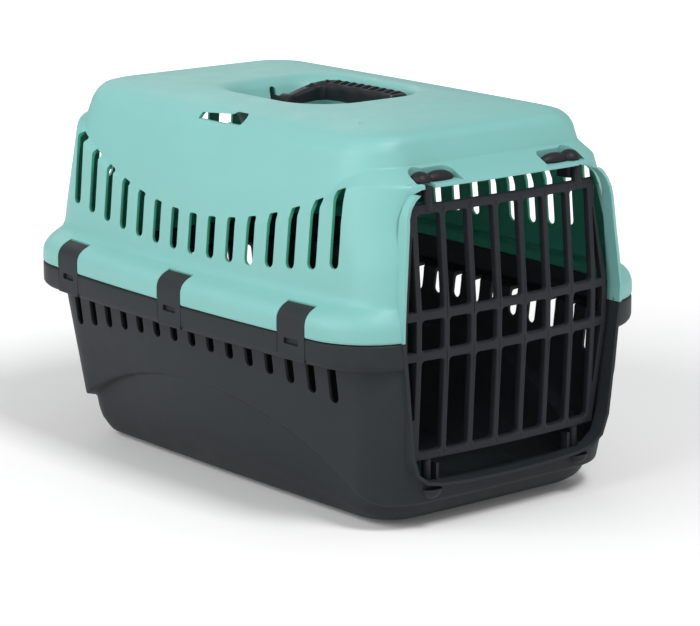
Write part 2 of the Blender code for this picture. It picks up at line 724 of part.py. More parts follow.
# ---- latches -------------------------------------------------------------------------------
def half_ellipsoid(name, centre, radii, base, steps=20, rises=5):
    """A domed cap standing on a flat base."""
    rings = []
    for level in range(rises + 1):
        lift = math.radians(78.0 * level / rises)
        rings.append([(x, y, base + radii[2] * math.sin(lift) + (0.0 if level else -1.0))
                      for x, y in ((centre[0] + radii[0] * math.cos(lift) * math.cos(t),
                                    centre[1] + radii[1] * math.cos(lift) * math.sin(t))
                                   for t in (2 * math.pi * i / steps for i in range(steps)))])
    rings[0] = [(x, y, base) for x, y, _ in rings[0]]
    return loft(name, rings)


def build_latch(side, knob_mat, cam_mat):
    """A two-lobed knob over the shelf, on a shaft that carries a cam under it."""
    word = "right" if side > 0 else "left"
    x = side * DOOR_POST_X
    knob = prism(f"latch_knob_{word}", circle((x, LATCH_Y), LATCH_SHAFT_R, 16), "z",
                 250.6, LATCH_BASE_Z + 2.0, knob_mat)
    join(knob, half_ellipsoid("dome", (x, LATCH_Y), (8.3, 8.3, 7.6), LATCH_BASE_Z),
         half_ellipsoid("lever", (x - side * 17.0, LATCH_Y - 0.4), (14.5, 6.2, 7.0),
                        LATCH_BASE_Z))
    smooth(knob)
    set_origin(knob, (x, LATCH_Y, LATCH_BASE_Z))
    hub = [*circle((x, LATCH_Y), 4.5, 10, 180.0, 180.0), (x + 4.2, LATCH_Y + 9.0),
           (x - 4.2, LATCH_Y + 9.0)]
    cam = prism(f"latch_cam_{word}", hub, "z", 250.6, 260.6, cam_mat)
    cut(cam, prism("bore", circle((x, LATCH_Y), LATCH_SHAFT_R + 0.3, 16), "z", 245.0, 266.0))
    set_origin(cam, (x, LATCH_Y, 255.0))
    return knob, cam


# ---- side clips ----------------------------------------------------------------------------
def build_clip(side, y, word, mat):
    """A strap that hooks over the flange and turns on its rolled lower edge."""
    skin = -CLIP_SEAT + CLIP_GAP
    inner = [(skin, 162.6), (-4.2, 166.8), (-8.2, 169.7), (-12.6, 171.6)]
    outer = [(-11.8, 173.7), (-7.2, 171.8), (-2.7, 168.4), (skin + CLIP_THICK, 163.4)]
    roll = circle((CLIP_AXIS_X, CLIP_AXIS_Z), 1.35, 8, 10.0, -200.0)
    profile = [*inner, *outer, (skin + CLIP_THICK, CLIP_AXIS_Z + 3.0), *roll]
    flank = "right" if side > 0 else "left"
    clip = prism(f"clip_{flank}_{word}", profile, "y", -CLIP_WIDTH / 2, CLIP_WIDTH / 2, mat)
    window = [(-20.0, 144.1), (20.0, 144.1), (20.0, 148.5), (-20.0, 148.5)]
    cut(clip, prism("window", window, "y", -7.8, 7.8))
    clip.data.transform(Matrix.Translation((-CLIP_AXIS_X * MM, 0.0, -CLIP_AXIS_Z * MM)))
    clip.matrix_world = clip_frame(side, y) @ Matrix.Translation(
        (CLIP_AXIS_X * MM, 0.0, CLIP_AXIS_Z * MM))
    smooth(clip, 30.0)
    return clip


# ---- carrying handle -----------------------------------------------------------------------
def handle_path():
    """Centre line of the U, from the front pivot round the grip to the rear pivot."""
    bend = HANDLE_CORNER
    x = HANDLE_REACH
    low, high = -HANDLE_HALF, HANDLE_HALF
    path = [(0.0, low), (5.0, low)]
    path += circle((x - bend, low + bend), bend, 6, -90.0, 90.0)
    path += [(x + 0.8, -8.0), (x + 0.8, 8.0)]
    path += circle((x - bend, high - bend), bend, 6, 0.0, 90.0)
    path += [(5.0, high), (0.0, high)]
    return path


def build_handle(mat):
    path = [Vector(p) for p in handle_path()]
    rings = []
    for i, here in enumerate(path):
        ahead = path[min(i + 1, len(path) - 1)] - path[max(i - 1, 0)]
        across = Vector((ahead.y, -ahead.x)).normalized()
        grip = min(max((here.x - 4.0) / 30.0, 0.0), 1.0)
        half_wide, half_thick = (leg + (bar - leg) * grip
                                 for leg, bar in zip(HANDLE_LEG, HANDLE_GRIP))
        section = []
        for turn in range(12):
            angle = 2 * math.pi * turn / 12
            wide = math.copysign(abs(math.cos(angle)) ** 0.6, math.cos(angle))
            thick = math.copysign(abs(math.sin(angle)) ** 0.6, math.sin(angle))
            spot = here + across * half_wide * wide
            rise = HANDLE_TILT * spot.x + half_thick * thick
            section.append((spot.x, spot.y + HANDLE_MID_Y, HANDLE_AXIS_Z + rise))
        rings.append(section)
    handle = loft("carry_handle", rings, mat)
    for end in (1, -1):
        y = HANDLE_MID_Y + end * HANDLE_HALF
        boss = circle((0.0, HANDLE_AXIS_Z), HANDLE_BOSS_R, 16)
        join(handle, prism("boss", boss, "y", y - 6.6, y + 6.6))
        bore = circle((0.0, HANDLE_AXIS_Z), HANDLE_PIN_R + 0.2, 16)
        start, stop = sorted((y - end * 4.0, y + end * 12.0))
        cut(handle, prism("bore", bore, "y", start, stop))
    smooth(handle, 40.0)
    set_origin(handle, (0.0, HANDLE_MID_Y, HANDLE_AXIS_Z))
    return handle


def build_pin(end, mat):
    word = "rear" if end > 0 else "front"
    inner = HANDLE_MID_Y + end * (HANDLE_HALF - 3.4)
    outer = 78.4 if end > 0 else -65.4
    low, high = sorted((inner, outer))
    pin = prism(f"handle_pin_{word}", circle((0.0, HANDLE_AXIS_Z), HANDLE_PIN_R, 16), "y",
                low, high, mat)
    smooth(pin)
    set_origin(pin, (0.0, (low + high) / 2, HANDLE_AXIS_Z))
    return pin


def main():
    clear_scene()
    mint = material("mint_shell", MINT, 0.42)
    charcoal = material("charcoal_tray", CHARCOAL, 0.48)
    grille = material("grille_plastic", GRILLE_GREY, 0.45)
    latch = material("latch_plastic", LATCH_GREY, 0.35)
    grip = material("handle_plastic", HANDLE_GREY, 0.45)
    build_tray(charcoal)
    build_shell(mint)
    build_door(grille)
    for side in (1, -1):
        build_latch(side, latch, latch)
        for y, word in zip(CLIP_Y, CLIP_NAMES):
            build_clip(side, y, word, charcoal)
    build_handle(grip)
    for end in (1, -1):
        build_pin(end, grip)


main()
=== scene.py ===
import math

import bmesh
import bpy
from mathutils import Matrix, Vector


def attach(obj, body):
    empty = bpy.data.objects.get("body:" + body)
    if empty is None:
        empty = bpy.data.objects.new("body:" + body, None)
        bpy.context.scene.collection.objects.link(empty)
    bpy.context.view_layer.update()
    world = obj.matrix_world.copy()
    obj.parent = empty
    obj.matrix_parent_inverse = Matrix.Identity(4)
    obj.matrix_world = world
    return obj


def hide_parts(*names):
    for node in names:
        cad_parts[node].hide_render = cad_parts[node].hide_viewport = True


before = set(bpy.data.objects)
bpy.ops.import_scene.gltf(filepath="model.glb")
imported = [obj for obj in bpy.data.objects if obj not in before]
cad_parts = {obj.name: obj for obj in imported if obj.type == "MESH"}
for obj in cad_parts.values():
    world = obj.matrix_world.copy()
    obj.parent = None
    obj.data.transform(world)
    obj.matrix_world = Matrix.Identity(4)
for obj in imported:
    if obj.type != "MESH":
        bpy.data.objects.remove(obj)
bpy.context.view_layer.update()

MM = 0.001

# ---- driving sizes ----
RIM_HALF_WIDTH = 162.6      # widest point of the joint rim, at mid length
SIDE_BOW = 2.4e-4           # the long sides curve out: half width loses SIDE_BOW * y * y
END_BOW = 4.1e-4            # the ends curve out the same way along x, most at the rim
WALL = 2.4
JOINT_Z = 151.2             # parting line between tray and shell
JOINT_GAP = 0.35
FLOOR_Z = 3.0               # underside of the tray, above the feet
ROOF_Z = 302.0
ARCH_Z = 84.0               # top of the arched crease on each side of the tray
ARCH_FALL = 1.6e-3
LEDGE_REAR_Z = 34.0         # the arch runs out into a ledge round the ends
LEDGE_FRONT_Z = 22.0
SMILE_Z = 216.0             # lowest point of the shoulder crease on each side of the shell
SMILE_Y = 3.0
SMILE_RISE = 1.47e-3
SHOULDER_FRONT_Z = 263.6    # where the crease runs out over the door and at the rear
SHOULDER_REAR_Z = 271.0
SILL_Z = 34.0               # flat sill inside the door's lower lip
SILL_BACK = -194.0
PAD_Z = 264.2               # flat seats for the latch knobs over the door
SLOT_COUNT = 15
SLOT_PITCH = 23.7
SLOT_WIDTH = 9.4
SLOT_CORNER = 2.0           # rounding of a slot's upper corners
SLOT_REACH = 190.0          # cutters run past both side walls
SLOT_OVERRUN = 2.6          # upper slots cut on through the narrow ledge over the crease
TRAY_SLOT_TOP = 134.8       # lower slots cut on through the ledge under the rim
TRAY_SLOT_REACH = 149.0
REAR_SLOT_COUNT = 7
REAR_SLOT_PITCH = 25.0
REAR_SLOT_WIDTH = 14.6
REAR_SLOTS_SHELL = (209.5, 263.0)
REAR_SLOTS_TRAY = (104.0, TRAY_SLOT_TOP)
REAR_SLOT_START = 190.0     # the rear cutters run from here out through the end wall
REAR_LEDGE_REACH = 218.0

DOOR_BARS = 8
DOOR_BAR_PITCH = 25.4
DOOR_BAR_WIDTH = 5.0
DOOR_DEPTH = 6.0
DOOR_BOW = 4.6              # how far the door's middle stands ahead of its edges
DOOR_BOW_SPAN = 91.0
DOOR_FACE = ((55.6, 210.5), (132.8, 214.2), (170.3, 214.2), (249.0, 207.1))
DOOR_POST_X = 75.5
DOOR_POST_Y = -207.0
DOOR_POST_R = 3.6
DOOR_WINDOW_CORNER = 2.8    # rounding of the windows between the bars, and of all edges
DOOR_EDGE = 1.0
POST_TOP = 262.4
POST_BOTTOM = 35.2

LATCH_Y = -198.5
LATCH_SHAFT_R = 2.4
LATCH_SHAFT_END = 250.6
LATCH_BASE_Z = 264.6
KNOB_DOME = (8.3, 8.3, 7.6)
KNOB_LEVER = (14.5, 6.2, 7.0)
KNOB_LEVER_SHIFT = (17.0, 0.4)      # inward and forward of the shaft
KNOB_VOXEL = 0.34           # the two lobes are melted into one skin this fine

CLIP_Y = (-147.0, -1.5, 143.5)
CLIP_NAMES = ("front", "middle", "rear")
CLIP_WIDTH = 30.0
CLIP_THICK = 2.2
CLIP_SEAT = 2.8             # depth of the seat moulded in rim and flange under a clip
CLIP_GAP = 0.35
CLIP_AXIS_X = -1.1          # from the rim's outer face
CLIP_AXIS_Z = 133.5
CLIP_ROLL_R = 1.35
CLIP_WINDOW = (7.8, 144.1, 148.5)    # half width, bottom and top
CLIP_WINDOW_CORNER = 1.0

HANDLE_MID_Y = 3.0
HANDLE_AXIS_Z = 286.5
HANDLE_HALF = 50.5          # from the middle to the centre of each leg
HANDLE_REACH = 38.4         # from the pivot axis to the centre of the grip
HANDLE_TILT = 0.165         # rise of the folded handle toward its grip
HANDLE_CORNER = 13.0
HANDLE_LEG = (5.6, 4.7)     # half width and half thickness at the pivots
HANDLE_GRIP = (7.8, 7.5)    # and along the grip
GRIP_START = 4.0            # a leg starts to widen into the grip this far from its pivot
GRIP_BLEND = 30.0           # and does so over this length
RIB_PITCH = 9.3             # cross ribs along the top of the grip, between pockets
RIB_DEPTH = 4.0
RIB_REACH = 66.0            # how far the ribs run each way from the grip's middle
FINGER_PITCH = 25.0
FINGER_BUMP = 1.0
HANDLE_BOSS_R = 5.3
HANDLE_PIN_R = 2.6
HANDLE_LIFT = 6.0
RECESS_FLOOR_Z = 272.0

FOOT_R = 7.0
FOOT_X = 78.0
FOOT_Y = 150.0

CORNER_STEPS = 12           # steps round a corner of the cabin, along a side and along an end
SIDE_STEPS = 72
END_STEPS = 28
ROUND_STEPS = 28            # round a post, a foot or a knob
SLOT_STEPS = 14             # round the end of a slot


# ---- mesh helpers ----
def scene_object(name, data):
    obj = bpy.data.objects.new(name, data)
    bpy.context.scene.collection.objects.link(obj)
    return obj


def mesh_object(name, verts, faces, mat=None):
    """An object from millimetre points, with its normals turned outward."""
    mesh = bpy.data.meshes.new(name)
    mesh.from_pydata([[c * MM for c in v] for v in verts], [], faces)
    tidy = bmesh.new()
    tidy.from_mesh(mesh)
    bmesh.ops.recalc_face_normals(tidy, faces=tidy.faces)
    tidy.to_mesh(mesh)
    tidy.free()
    if mat:
        mesh.materials.append(mat)
    return scene_object(name, mesh)


def loft(name, rings, mat=None, looped=False):
    """A closed solid through rings of equal length: flat ends, or the last leads to the first."""
    count = len(rings[0])
    verts = [point for ring in rings for point in ring]
    faces = []
    if not looped:
        faces += [list(range(count)), list(range((len(rings) - 1) * count, len(verts)))]
    for level in range(len(rings) if looped else len(rings) - 1):
        low = level * count
        high = (low + count) % len(verts)
        for i in range(count):
            j = (i + 1) % count
            faces.append([low + i, low + j, high + j, high + i])
    return mesh_object(name, verts, faces, mat)


def prism(name, outline_points, axis, low, high, mat=None):
    """A flat outline pushed along an axis. Its points are the other two axes, in order."""
    at = "xyz".index(axis)
    rings = [[(*point[:at], depth, *point[at:]) for point in outline_points]
             for depth in (low, high)]
    return loft(name, rings, mat)


def block(name, x, y, z):
    """A box between two values on each axis."""
    return prism(name, [(x[0], y[0]), (x[1], y[0]), (x[1], y[1]), (x[0], y[1])], "z", *z)


def evenly(count, pitch):
    """Evenly spaced places about the middle."""
    return [(i - (count - 1) / 2) * pitch for i in range(count)]


def circle(centre, radius, steps=ROUND_STEPS, start=0.0, turn=360.0):
    """Points round an arc; a full turn leaves out the repeated last point."""
    count = steps if abs(turn) >= 360.0 else steps + 1
    angles = [math.radians(start + turn * i / steps) for i in range(count)]
    return [(centre[0] + radius * math.cos(angle), centre[1] + radius * math.sin(angle))
            for angle in angles]


def boolean(target, tool, operation):
    """Apply one exact boolean to target's mesh and drop the tool."""
    step = target.modifiers.new(operation, "BOOLEAN")
    step.operation = operation
    step.solver = "EXACT"
    step.object = tool
    bpy.context.view_layer.update()
    graph = bpy.context.evaluated_depsgraph_get()
    result = bpy.data.meshes.new_from_object(target.evaluated_get(graph))
    target.modifiers.clear()
    target.data = result
    bpy.data.objects.remove(tool, do_unlink=True)


def cut(target, *tools):
    for tool in tools:
        boolean(target, tool, "DIFFERENCE")


def join(target, *tools):
    for tool in tools:
        boolean(target, tool, "UNION")


def merged(name, parts):
    """One tool object from several that don't touch each other."""
    verts = []
    faces = []
    for part in parts:
        base = len(verts)
        verts += [(part.matrix_world @ v.co) / MM for v in part.data.vertices]
        faces += [[base + i for i in face.vertices] for face in part.data.polygons]
        bpy.data.objects.remove(part, do_unlink=True)
    return mesh_object(name, verts, faces)


def settle(obj, degrees=35.0):
    """Clean up after cutting and shade the piece smooth up to its creases."""
    tidy = bmesh.new()
    tidy.from_mesh(obj.data)
    bmesh.ops.remove_doubles(tidy, verts=tidy.verts, dist=0.01 * MM)
    tidy.to_mesh(obj.data)
    tidy.free()
    for face in obj.data.polygons:
        face.use_smooth = True
    obj.data.set_sharp_from_angle(angle=math.radians(degrees))


def clamp(value):
    return min(max(value, 0.0), 1.0)


def reading(table, z):
    """The value at a height, on straight lines through a table's (height, value) pairs."""
    for (z0, first), (z1, last) in zip(table, table[1:]):
        if z <= z1:
            return first + (last - first) * (z - z0) / (z1 - z0)
    return table[-1][1]


def soft_min(a, b, reach):
    """The lower of two heights, with a rounded turn between them."""
    share = max(reach - abs(a - b), 0.0) / reach
    return min(a, b) - reach * share * share / 4.0


def ellipsoid(name, centre, radii, steps=ROUND_STEPS, rises=14):
    """A closed ball with a radius for each axis."""
    rings = []
    for level in range(1, rises):
        lift = math.pi * (level / rises - 0.5)
        rings.append([(centre[0] + radii[0] * math.cos(lift) * math.cos(t),
                       centre[1] + radii[1] * math.cos(lift) * math.sin(t),
                       centre[2] + radii[2] * math.sin(lift))
                      for t in (2 * math.pi * i / steps for i in range(steps))])
    return loft(name, rings)


def turned(name, spot, radius, profile, steps=ROUND_STEPS):
    """An upright round rod; its profile gives heights and how far each is set in."""
    return loft(name, [[(x, y, z) for x, y in circle(spot, radius - rim, steps)]
                       for z, rim in profile])


def rounded_edges(obj, width, degrees=30.0, segments=2):
    """A moulded radius on every edge sharper than the angle."""
    step = obj.modifiers.new("edges", "BEVEL")
    step.width = width * MM
    step.segments = segments
    step.limit_method = "ANGLE"
    step.angle_limit = math.radians(degrees)


def soften(rings, reach):
    """Round every crease between rings with a short curve of the given reach."""
    out = [rings[0]]
    for k, ring in enumerate(rings[1:-1], 1):
        curves = [[], [], [], []]
        for before, here, after in zip(rings[k - 1], ring, rings[k + 1]):
            p, q, r = Vector(before), Vector(here), Vector(after)
            back, ahead = p - q, r - q
            start = q + back * min(0.42, reach / max(back.length, 0.01))
            stop = q + ahead * min(0.42, reach / max(ahead.length, 0.01))
            for curve, t in zip(curves, (0.0, 0.33, 0.67, 1.0)):
                curve.append(tuple(start * (1 - t) ** 2 + q * 2 * t * (1 - t) + stop * t * t))
        out += curves
    return [*out, rings[-1]]


# ---- cabin outlines ----
def bows(z):
    """How strongly the sides and the ends curve out at a height: most near the rim."""
    low = clamp((z - FLOOR_Z) / 77.0)
    high = clamp((ROOF_Z - z) / 62.0)
    end = 1.0e-4 + (END_BOW - 1.0e-4) * max(0.0, 1.0 - abs(z - JOINT_Z) / 70.0)
    return SIDE_BOW * (0.3 + 0.7 * min(low, high)), end


def outline(half_width, front, rear, corners, side_bow, end_bow):
    """Rounded rectangle with bowed sides, counter-clockwise from the front right corner."""
    points = []
    for side, end, reach, corner, start in ((1, -1, front, corners[0], -90),
                                            (1, 1, rear, corners[1], 0),
                                            (-1, 1, rear, corners[1], 90),
                                            (-1, -1, front, corners[0], 180)):
        mid_x = half_width - side_bow * (reach - corner) ** 2 - corner
        mid_y = reach - end_bow * (half_width - corner) ** 2 - corner
        points += circle((side * mid_x, end * mid_y), corner, CORNER_STEPS, start, 90.0)
        if side == end:
            # the rear right corner leads into the rear end, the front left into the front end
            for i in range(1, END_STEPS):
                x = side * mid_x * (1 - 2 * i / END_STEPS)
                points.append((x, end * (reach - end_bow * x * x)))
        else:
            other, bend = (rear, corners[1]) if end < 0 else (front, corners[0])
            first = end * mid_y
            last = -end * (other - end_bow * (half_width - bend) ** 2 - bend)
            for i in range(1, SIDE_STEPS):
                y = first + (last - first) * i / SIDE_STEPS
                points.append((side * (half_width - side_bow * y * y), y))
    return points


def level_outline(level, inset=0.0):
    """A level is (half width, front, rear, front corner, rear corner, height)."""
    half_width, front, rear, front_corner, rear_corner, z = level
    corners = (max(front_corner - inset, 8.0), max(rear_corner - inset, 8.0))
    return outline(half_width - inset, front - inset, rear - inset, corners, *bows(z))


def flat_ring(level, inset=0.0, lift=0.0):
    return [(x, y, level[5] + lift) for x, y in level_outline(level, inset)]


def draped_ring(levels, heights, inset=0.0, lift=0.0):
    """A ring on the wall that the levels describe, with its own height at every point."""
    walls = [level_outline(level, inset) for level in levels]
    points = []
    for i, z in enumerate(heights):
        k = 0
        while k < len(levels) - 2 and z > levels[k + 1][5]:
            k += 1
        part = (z - levels[k][5]) / (levels[k + 1][5] - levels[k][5])
        (x0, y0), (x1, y1) = walls[k][i], walls[k + 1][i]
        points.append((x0 + (x1 - x0) * part, y0 + (y1 - y0) * part, z + lift))
    return points


def mixed_ring(first, second, parts, heights):
    """Between two rings in plan, by a share for each point, at the given heights."""
    return [(a[0] + (b[0] - a[0]) * part, a[1] + (b[1] - a[1]) * part, z)
            for a, b, part, z in zip(first, second, parts, heights)]


# ---- lower tray ----
TRAY_FLOOR = (98.0, 184.0, 178.0, 24.0, 24.0, FLOOR_Z)
TRAY_BASE = (104.8, 191.0, 184.0, 30.0, 30.0, FLOOR_Z + 1.5)
TRAY_SKIRT = (117.0, 206.0, 193.8, 38.0, 36.0, 28.0)
TRAY_WALL = (
    (124.6, 212.0, 194.6, 44.0, 38.0, 20.0),
    (127.0, 217.0, 196.4, 40.0, 38.0, 34.0),
    (134.7, 222.6, 204.6, 38.0, 38.0, 80.0),
    (136.2, 223.4, 206.4, 38.0, 38.0, 94.0),
    (140.6, 224.6, 212.6, 39.0, 39.0, 127.0))
TRAY_RIM = (
    (141.4, 225.0, 213.4, 40.0, 40.0, 129.6),
    (158.6, 225.0, 222.2, 54.0, 54.0, 130.8),
    (162.0, 226.4, 225.6, 56.6, 56.6, 134.0),
    (162.4, 226.9, 226.3, 56.8, 56.8, JOINT_Z - JOINT_GAP))
TRAY_GUTTER = (
    (157.2, 221.8, 221.2, 52.0, 52.0, JOINT_Z - JOINT_GAP),
    (157.2, 221.8, 221.2, 52.0, 52.0, 134.4),
    (138.4, 221.8, 210.6, 37.0, 37.0, 133.0))
BASE_PROFILE = ((0.14, 0.27), (0.35, 0.61), (0.59, 0.81))
TONGUE = (                  # outer face of the thin upstand inside the tray's rim
    (157.4, 221.9, 221.3, 52.1, 52.1, 144.0),
    (157.4, 221.9, 221.3, 52.1, 52.1, 150.8),
    (157.3, 221.4, 220.6, 52.0, 52.0, 154.0))
TONGUE_THICK = 1.3
SOCKET_SPOT = (-211.2, 33.0)
SOCKET_RADII = (9.0, 9.6, 8.0)
FINGER_X = (6.6, 9.2)       # inward of the door's pin
FINGER_Y = (-211.0, -204.0)
FINGER_TOP = 51.0


def ledge_height(y):
    return LEDGE_FRONT_Z if y < 0 else LEDGE_REAR_Z


def arch_height(y):
    return -soft_min(-ledge_height(y), ARCH_FALL * y * y - ARCH_Z, 6.0)


def tray_skirt_rings(inset, lift):
    """From the base up to the arched crease, which is the last ring."""
    base = flat_ring(TRAY_BASE, inset)
    heights = [arch_height(spot[1]) for spot in level_outline(TRAY_WALL[1])]
    crease = draped_ring(TRAY_WALL, heights, inset, lift)
    tucked = draped_ring(TRAY_WALL, heights, inset + 1.5)
    skirt = flat_ring(TRAY_SKIRT, inset)
    ledges = [ledge_height(point[1]) for point in skirt]
    shares = [(z - ledge) / (ARCH_Z - ledge) for z, ledge in zip(heights, ledges)]
    unders = [z - 1.9 + lift for z in heights]
    below = mixed_ring(skirt, tucked, shares, unders)
    rings = [base]
    for rise, reach in BASE_PROFILE:
        levels = [base[0][2] + (z - base[0][2]) * rise for z in unders]
        rings.append(mixed_ring(base, below, [reach] * len(base), levels))
    return rings + [below, crease]


def tray_rings():
    rings = [flat_ring(TRAY_FLOOR), *tray_skirt_rings(0.0, 0.0)]
    rings += [flat_ring(level) for level in (*TRAY_WALL[3:], *TRAY_RIM, *TRAY_GUTTER)]
    rings += [flat_ring(level, WALL) for level in reversed(TRAY_WALL[3:])]
    rings += reversed(tray_skirt_rings(WALL, WALL))
    rings.append(flat_ring(TRAY_FLOOR, WALL, WALL))
    return rings


def lower_slot_bottom(y):
    """The row of tray slots is longest at its ends."""
    return 112.4 - 5.0e-4 * y * y


def rear_slots(heights, reach):
    """The row of wider slots through the rear end wall."""
    low, high = heights
    half = REAR_SLOT_WIDTH / 2
    tools = []
    for x in evenly(REAR_SLOT_COUNT, REAR_SLOT_PITCH):
        points = [(x + half, high), (x - half, high)]
        points += circle((x, low + half), half, 18, 180.0, 180.0)
        tools.append(prism("slot", points, "y", REAR_SLOT_START, reach))
    return merged("rear_slots", tools)


def tray_slots():
    half = SLOT_WIDTH / 2
    tools = []
    for y in evenly(SLOT_COUNT, SLOT_PITCH):
        reach = TRAY_SLOT_REACH - SIDE_BOW * y * y
        points = [(y + half, TRAY_SLOT_TOP), (y - half, TRAY_SLOT_TOP)]
        points += circle((y, lower_slot_bottom(y) + half), half, SLOT_STEPS, 180.0, 180.0)
        tools.append(prism("slot", points, "x", -reach, reach))
    return merged("slots", tools)


# ---- front opening, shared by tray and shell ----
OPENING_SIDE = ((109.2, 152.0), (106.4, 130.0), (103.6, 105.0), (101.2, 83.0), (98.8, 63.0),
                (93.6, 48.0), (84.0, 41.0), (70.0, 38.0), (44.0, 36.0), (16.0, 35.2))
OPENING_TOP = ((109.2, 165.0), (107.0, 188.0), (104.6, 209.0), (102.0, 235.4))
OPENING_TOP_CORNER = 26.0
COLLAR = 2.6                # width of the raised border round the opening
COLLAR_BACK = -208.0
COLLAR_BOTTOM = 30.0
COLLAR_FRONT = ((30.0, 220.0), (60.0, 221.2), (150.0, 222.0), (165.0, 222.4), (188.0, 221.0),
                (209.0, 219.6), (235.4, 218.2), (249.0, 215.8), (266.0, 214.6))
COLLAR_GAP_X = 80.8         # no border over the door posts and latches
COLLAR_TOP = 258.0


def opening_points(grow=0.0):
    """Half outline from the bottom up, mirrored; grow widens it."""
    corner = (OPENING_TOP[-1][0] - OPENING_TOP_CORNER, OPENING_TOP[-1][1])
    half = [*reversed(OPENING_SIDE), *OPENING_TOP]
    spread = []
    for i, (x, z) in enumerate(half):
        before = half[max(i - 1, 0)]
        after = half[min(i + 1, len(half) - 1)]
        dx, dz = after[0] - before[0], after[1] - before[1]
        size = math.hypot(dx, dz)
        spread.append((x + grow * dz / size, z - grow * dx / size))
    spread += circle(corner, OPENING_TOP_CORNER + grow, 6, 0.0, 90.0)[1:]
    return spread + [(-x, z) for x, z in reversed(spread)]


def front_opening():
    return prism("opening", opening_points(), "y", -262.0, -165.0)


def span(name, half, low, high):
    """A block across the door end, between two heights."""
    return prism(name, [(-half, low), (half, low), (half, high), (-half, high)],
                 "y", -250.0, -190.0)


def collar(low, high):
    """Material for the border round the opening, between two heights; the opening is cut later."""
    points = opening_points(COLLAR)
    count = len(points)
    verts = [(x, COLLAR_BACK, z) for x, z in points]
    verts += [(x, -reading(COLLAR_FRONT, z), z) for x, z in points]
    faces = [[i, (i + 1) % count, count + (i + 1) % count, count + i] for i in range(count)]
    for i in range(count // 2 - 1):
        j = count - 1 - i
        faces += [[i, i + 1, j - 1, j], [count + i, count + i + 1, count + j - 1, count + j]]
    band = mesh_object("collar", verts, faces)
    boolean(band, span("keep", 140.0, low, high), "INTERSECT")
    return band


def clip_frame(side, y):
    """Placement of a clip's own axes: +x outward, y along the rim, at the rim's outer face."""
    swing = math.atan(2 * SIDE_BOW * y)
    turn = swing if side > 0 else math.pi - swing
    spot = Vector((side * (RIM_HALF_WIDTH - SIDE_BOW * y * y), y, 0.0)) * MM
    return Matrix.Translation(spot) @ Matrix.Rotation(turn, 4, "Z")


def clip_seats():
    """Seats for all six clips, cut from both the tray's rim and the shell's flange."""
    profile = [(-CLIP_SEAT, 127.0), (-CLIP_SEAT, 162.4), (-4.6, 166.4), (-8.4, 169.2),
               (-13.4, 171.2), (-13.4, 190.0), (14.0, 190.0), (14.0, 127.0)]
    half = CLIP_WIDTH / 2 + 0.45
    tools = []
    for side in (1, -1):
        for y in CLIP_Y:
            tool = prism("seat", profile, "y", -half, half)
            tool.matrix_world = clip_frame(side, y)
            tools.append(tool)
    bpy.context.view_layer.update()
    return merged("seats", tools)


def add_sill(tray):
    """The flat sill behind the opening's lower lip, ended by the tray's own outer shape."""
    sill = block("sill", (-118.0, 118.0), (-230.0, SILL_BACK), (SILL_Z - WALL, SILL_Z))
    levels = [*tray_skirt_rings(0.2, 0.0), flat_ring(TRAY_WALL[3], 0.2)]
    boolean(sill, loft("outer", levels), "INTERSECT")
    join(tray, sill)


# ---- upper shell ----
SHELL_RIM = (
    (162.6, 227.1, 226.5, 57.0, 57.0, JOINT_Z),
    (162.6, 226.2, 224.6, 57.0, 57.0, 162.5),
    (161.0, 224.2, 221.6, 56.0, 56.0, 167.0),
    (157.0, 222.4, 218.8, 53.0, 53.0, 170.8),
    (150.4, 221.6, 216.8, 48.0, 48.0, 173.8),
    (143.8, 221.4, 215.4, 44.0, 44.0, 176.4),
    (140.6, 221.2, 214.0, 41.0, 41.0, 180.2))
SHELL_WALL = (
    (139.5, 220.6, 212.8, 40.0, 40.0, 185.0),
    (135.9, 216.4, 206.8, 40.0, 40.0, 224.0),
    (133.4, 214.8, 205.8, 50.0, 43.0, 248.0),
    (132.4, 214.6, 206.4, 62.0, 46.0, 258.0),
    (130.4, 212.2, 205.4, 66.0, 48.0, 264.0),
    (129.4, 211.4, 203.0, 66.0, 50.0, 272.0))
SHELL_DOME = (
    (136.7, 193.0, 207.0, 40.0, 40.0, 216.0),
    (130.6, 192.4, 203.6, 42.0, 42.0, 245.0),
    (124.8, 191.6, 201.6, 42.0, 42.0, 262.0),
    (120.8, 190.6, 199.8, 42.0, 42.0, 272.0),
    (118.4, 188.2, 196.8, 40.0, 40.0, 279.0),
    (115.2, 185.8, 193.6, 36.0, 36.0, 286.0))
SHELL_ROOF = (
    (109.6, 184.0, 191.2, 33.0, 33.0, 292.2),
    (103.2, 180.4, 187.6, 30.0, 30.0, 296.6),
    (94.0, 171.0, 178.0, 27.0, 27.0, 299.2),
    (78.0, 152.0, 160.0, 24.0, 24.0, 301.0),
    (66.0, 134.0, 146.0, 20.0, 20.0, ROOF_Z))
FLANGE_INSIDE = (
    (157.6, 222.0, 221.4, 52.0, 52.0, JOINT_Z),
    (157.6, 221.0, 219.6, 52.0, 52.0, 162.4),
    (151.0, 219.4, 215.0, 48.0, 48.0, 168.8),
    (140.4, 218.4, 212.6, 42.0, 42.0, 172.6))
WALL_HEIGHT = 204.0
DOME_TOP_Z = 279.0
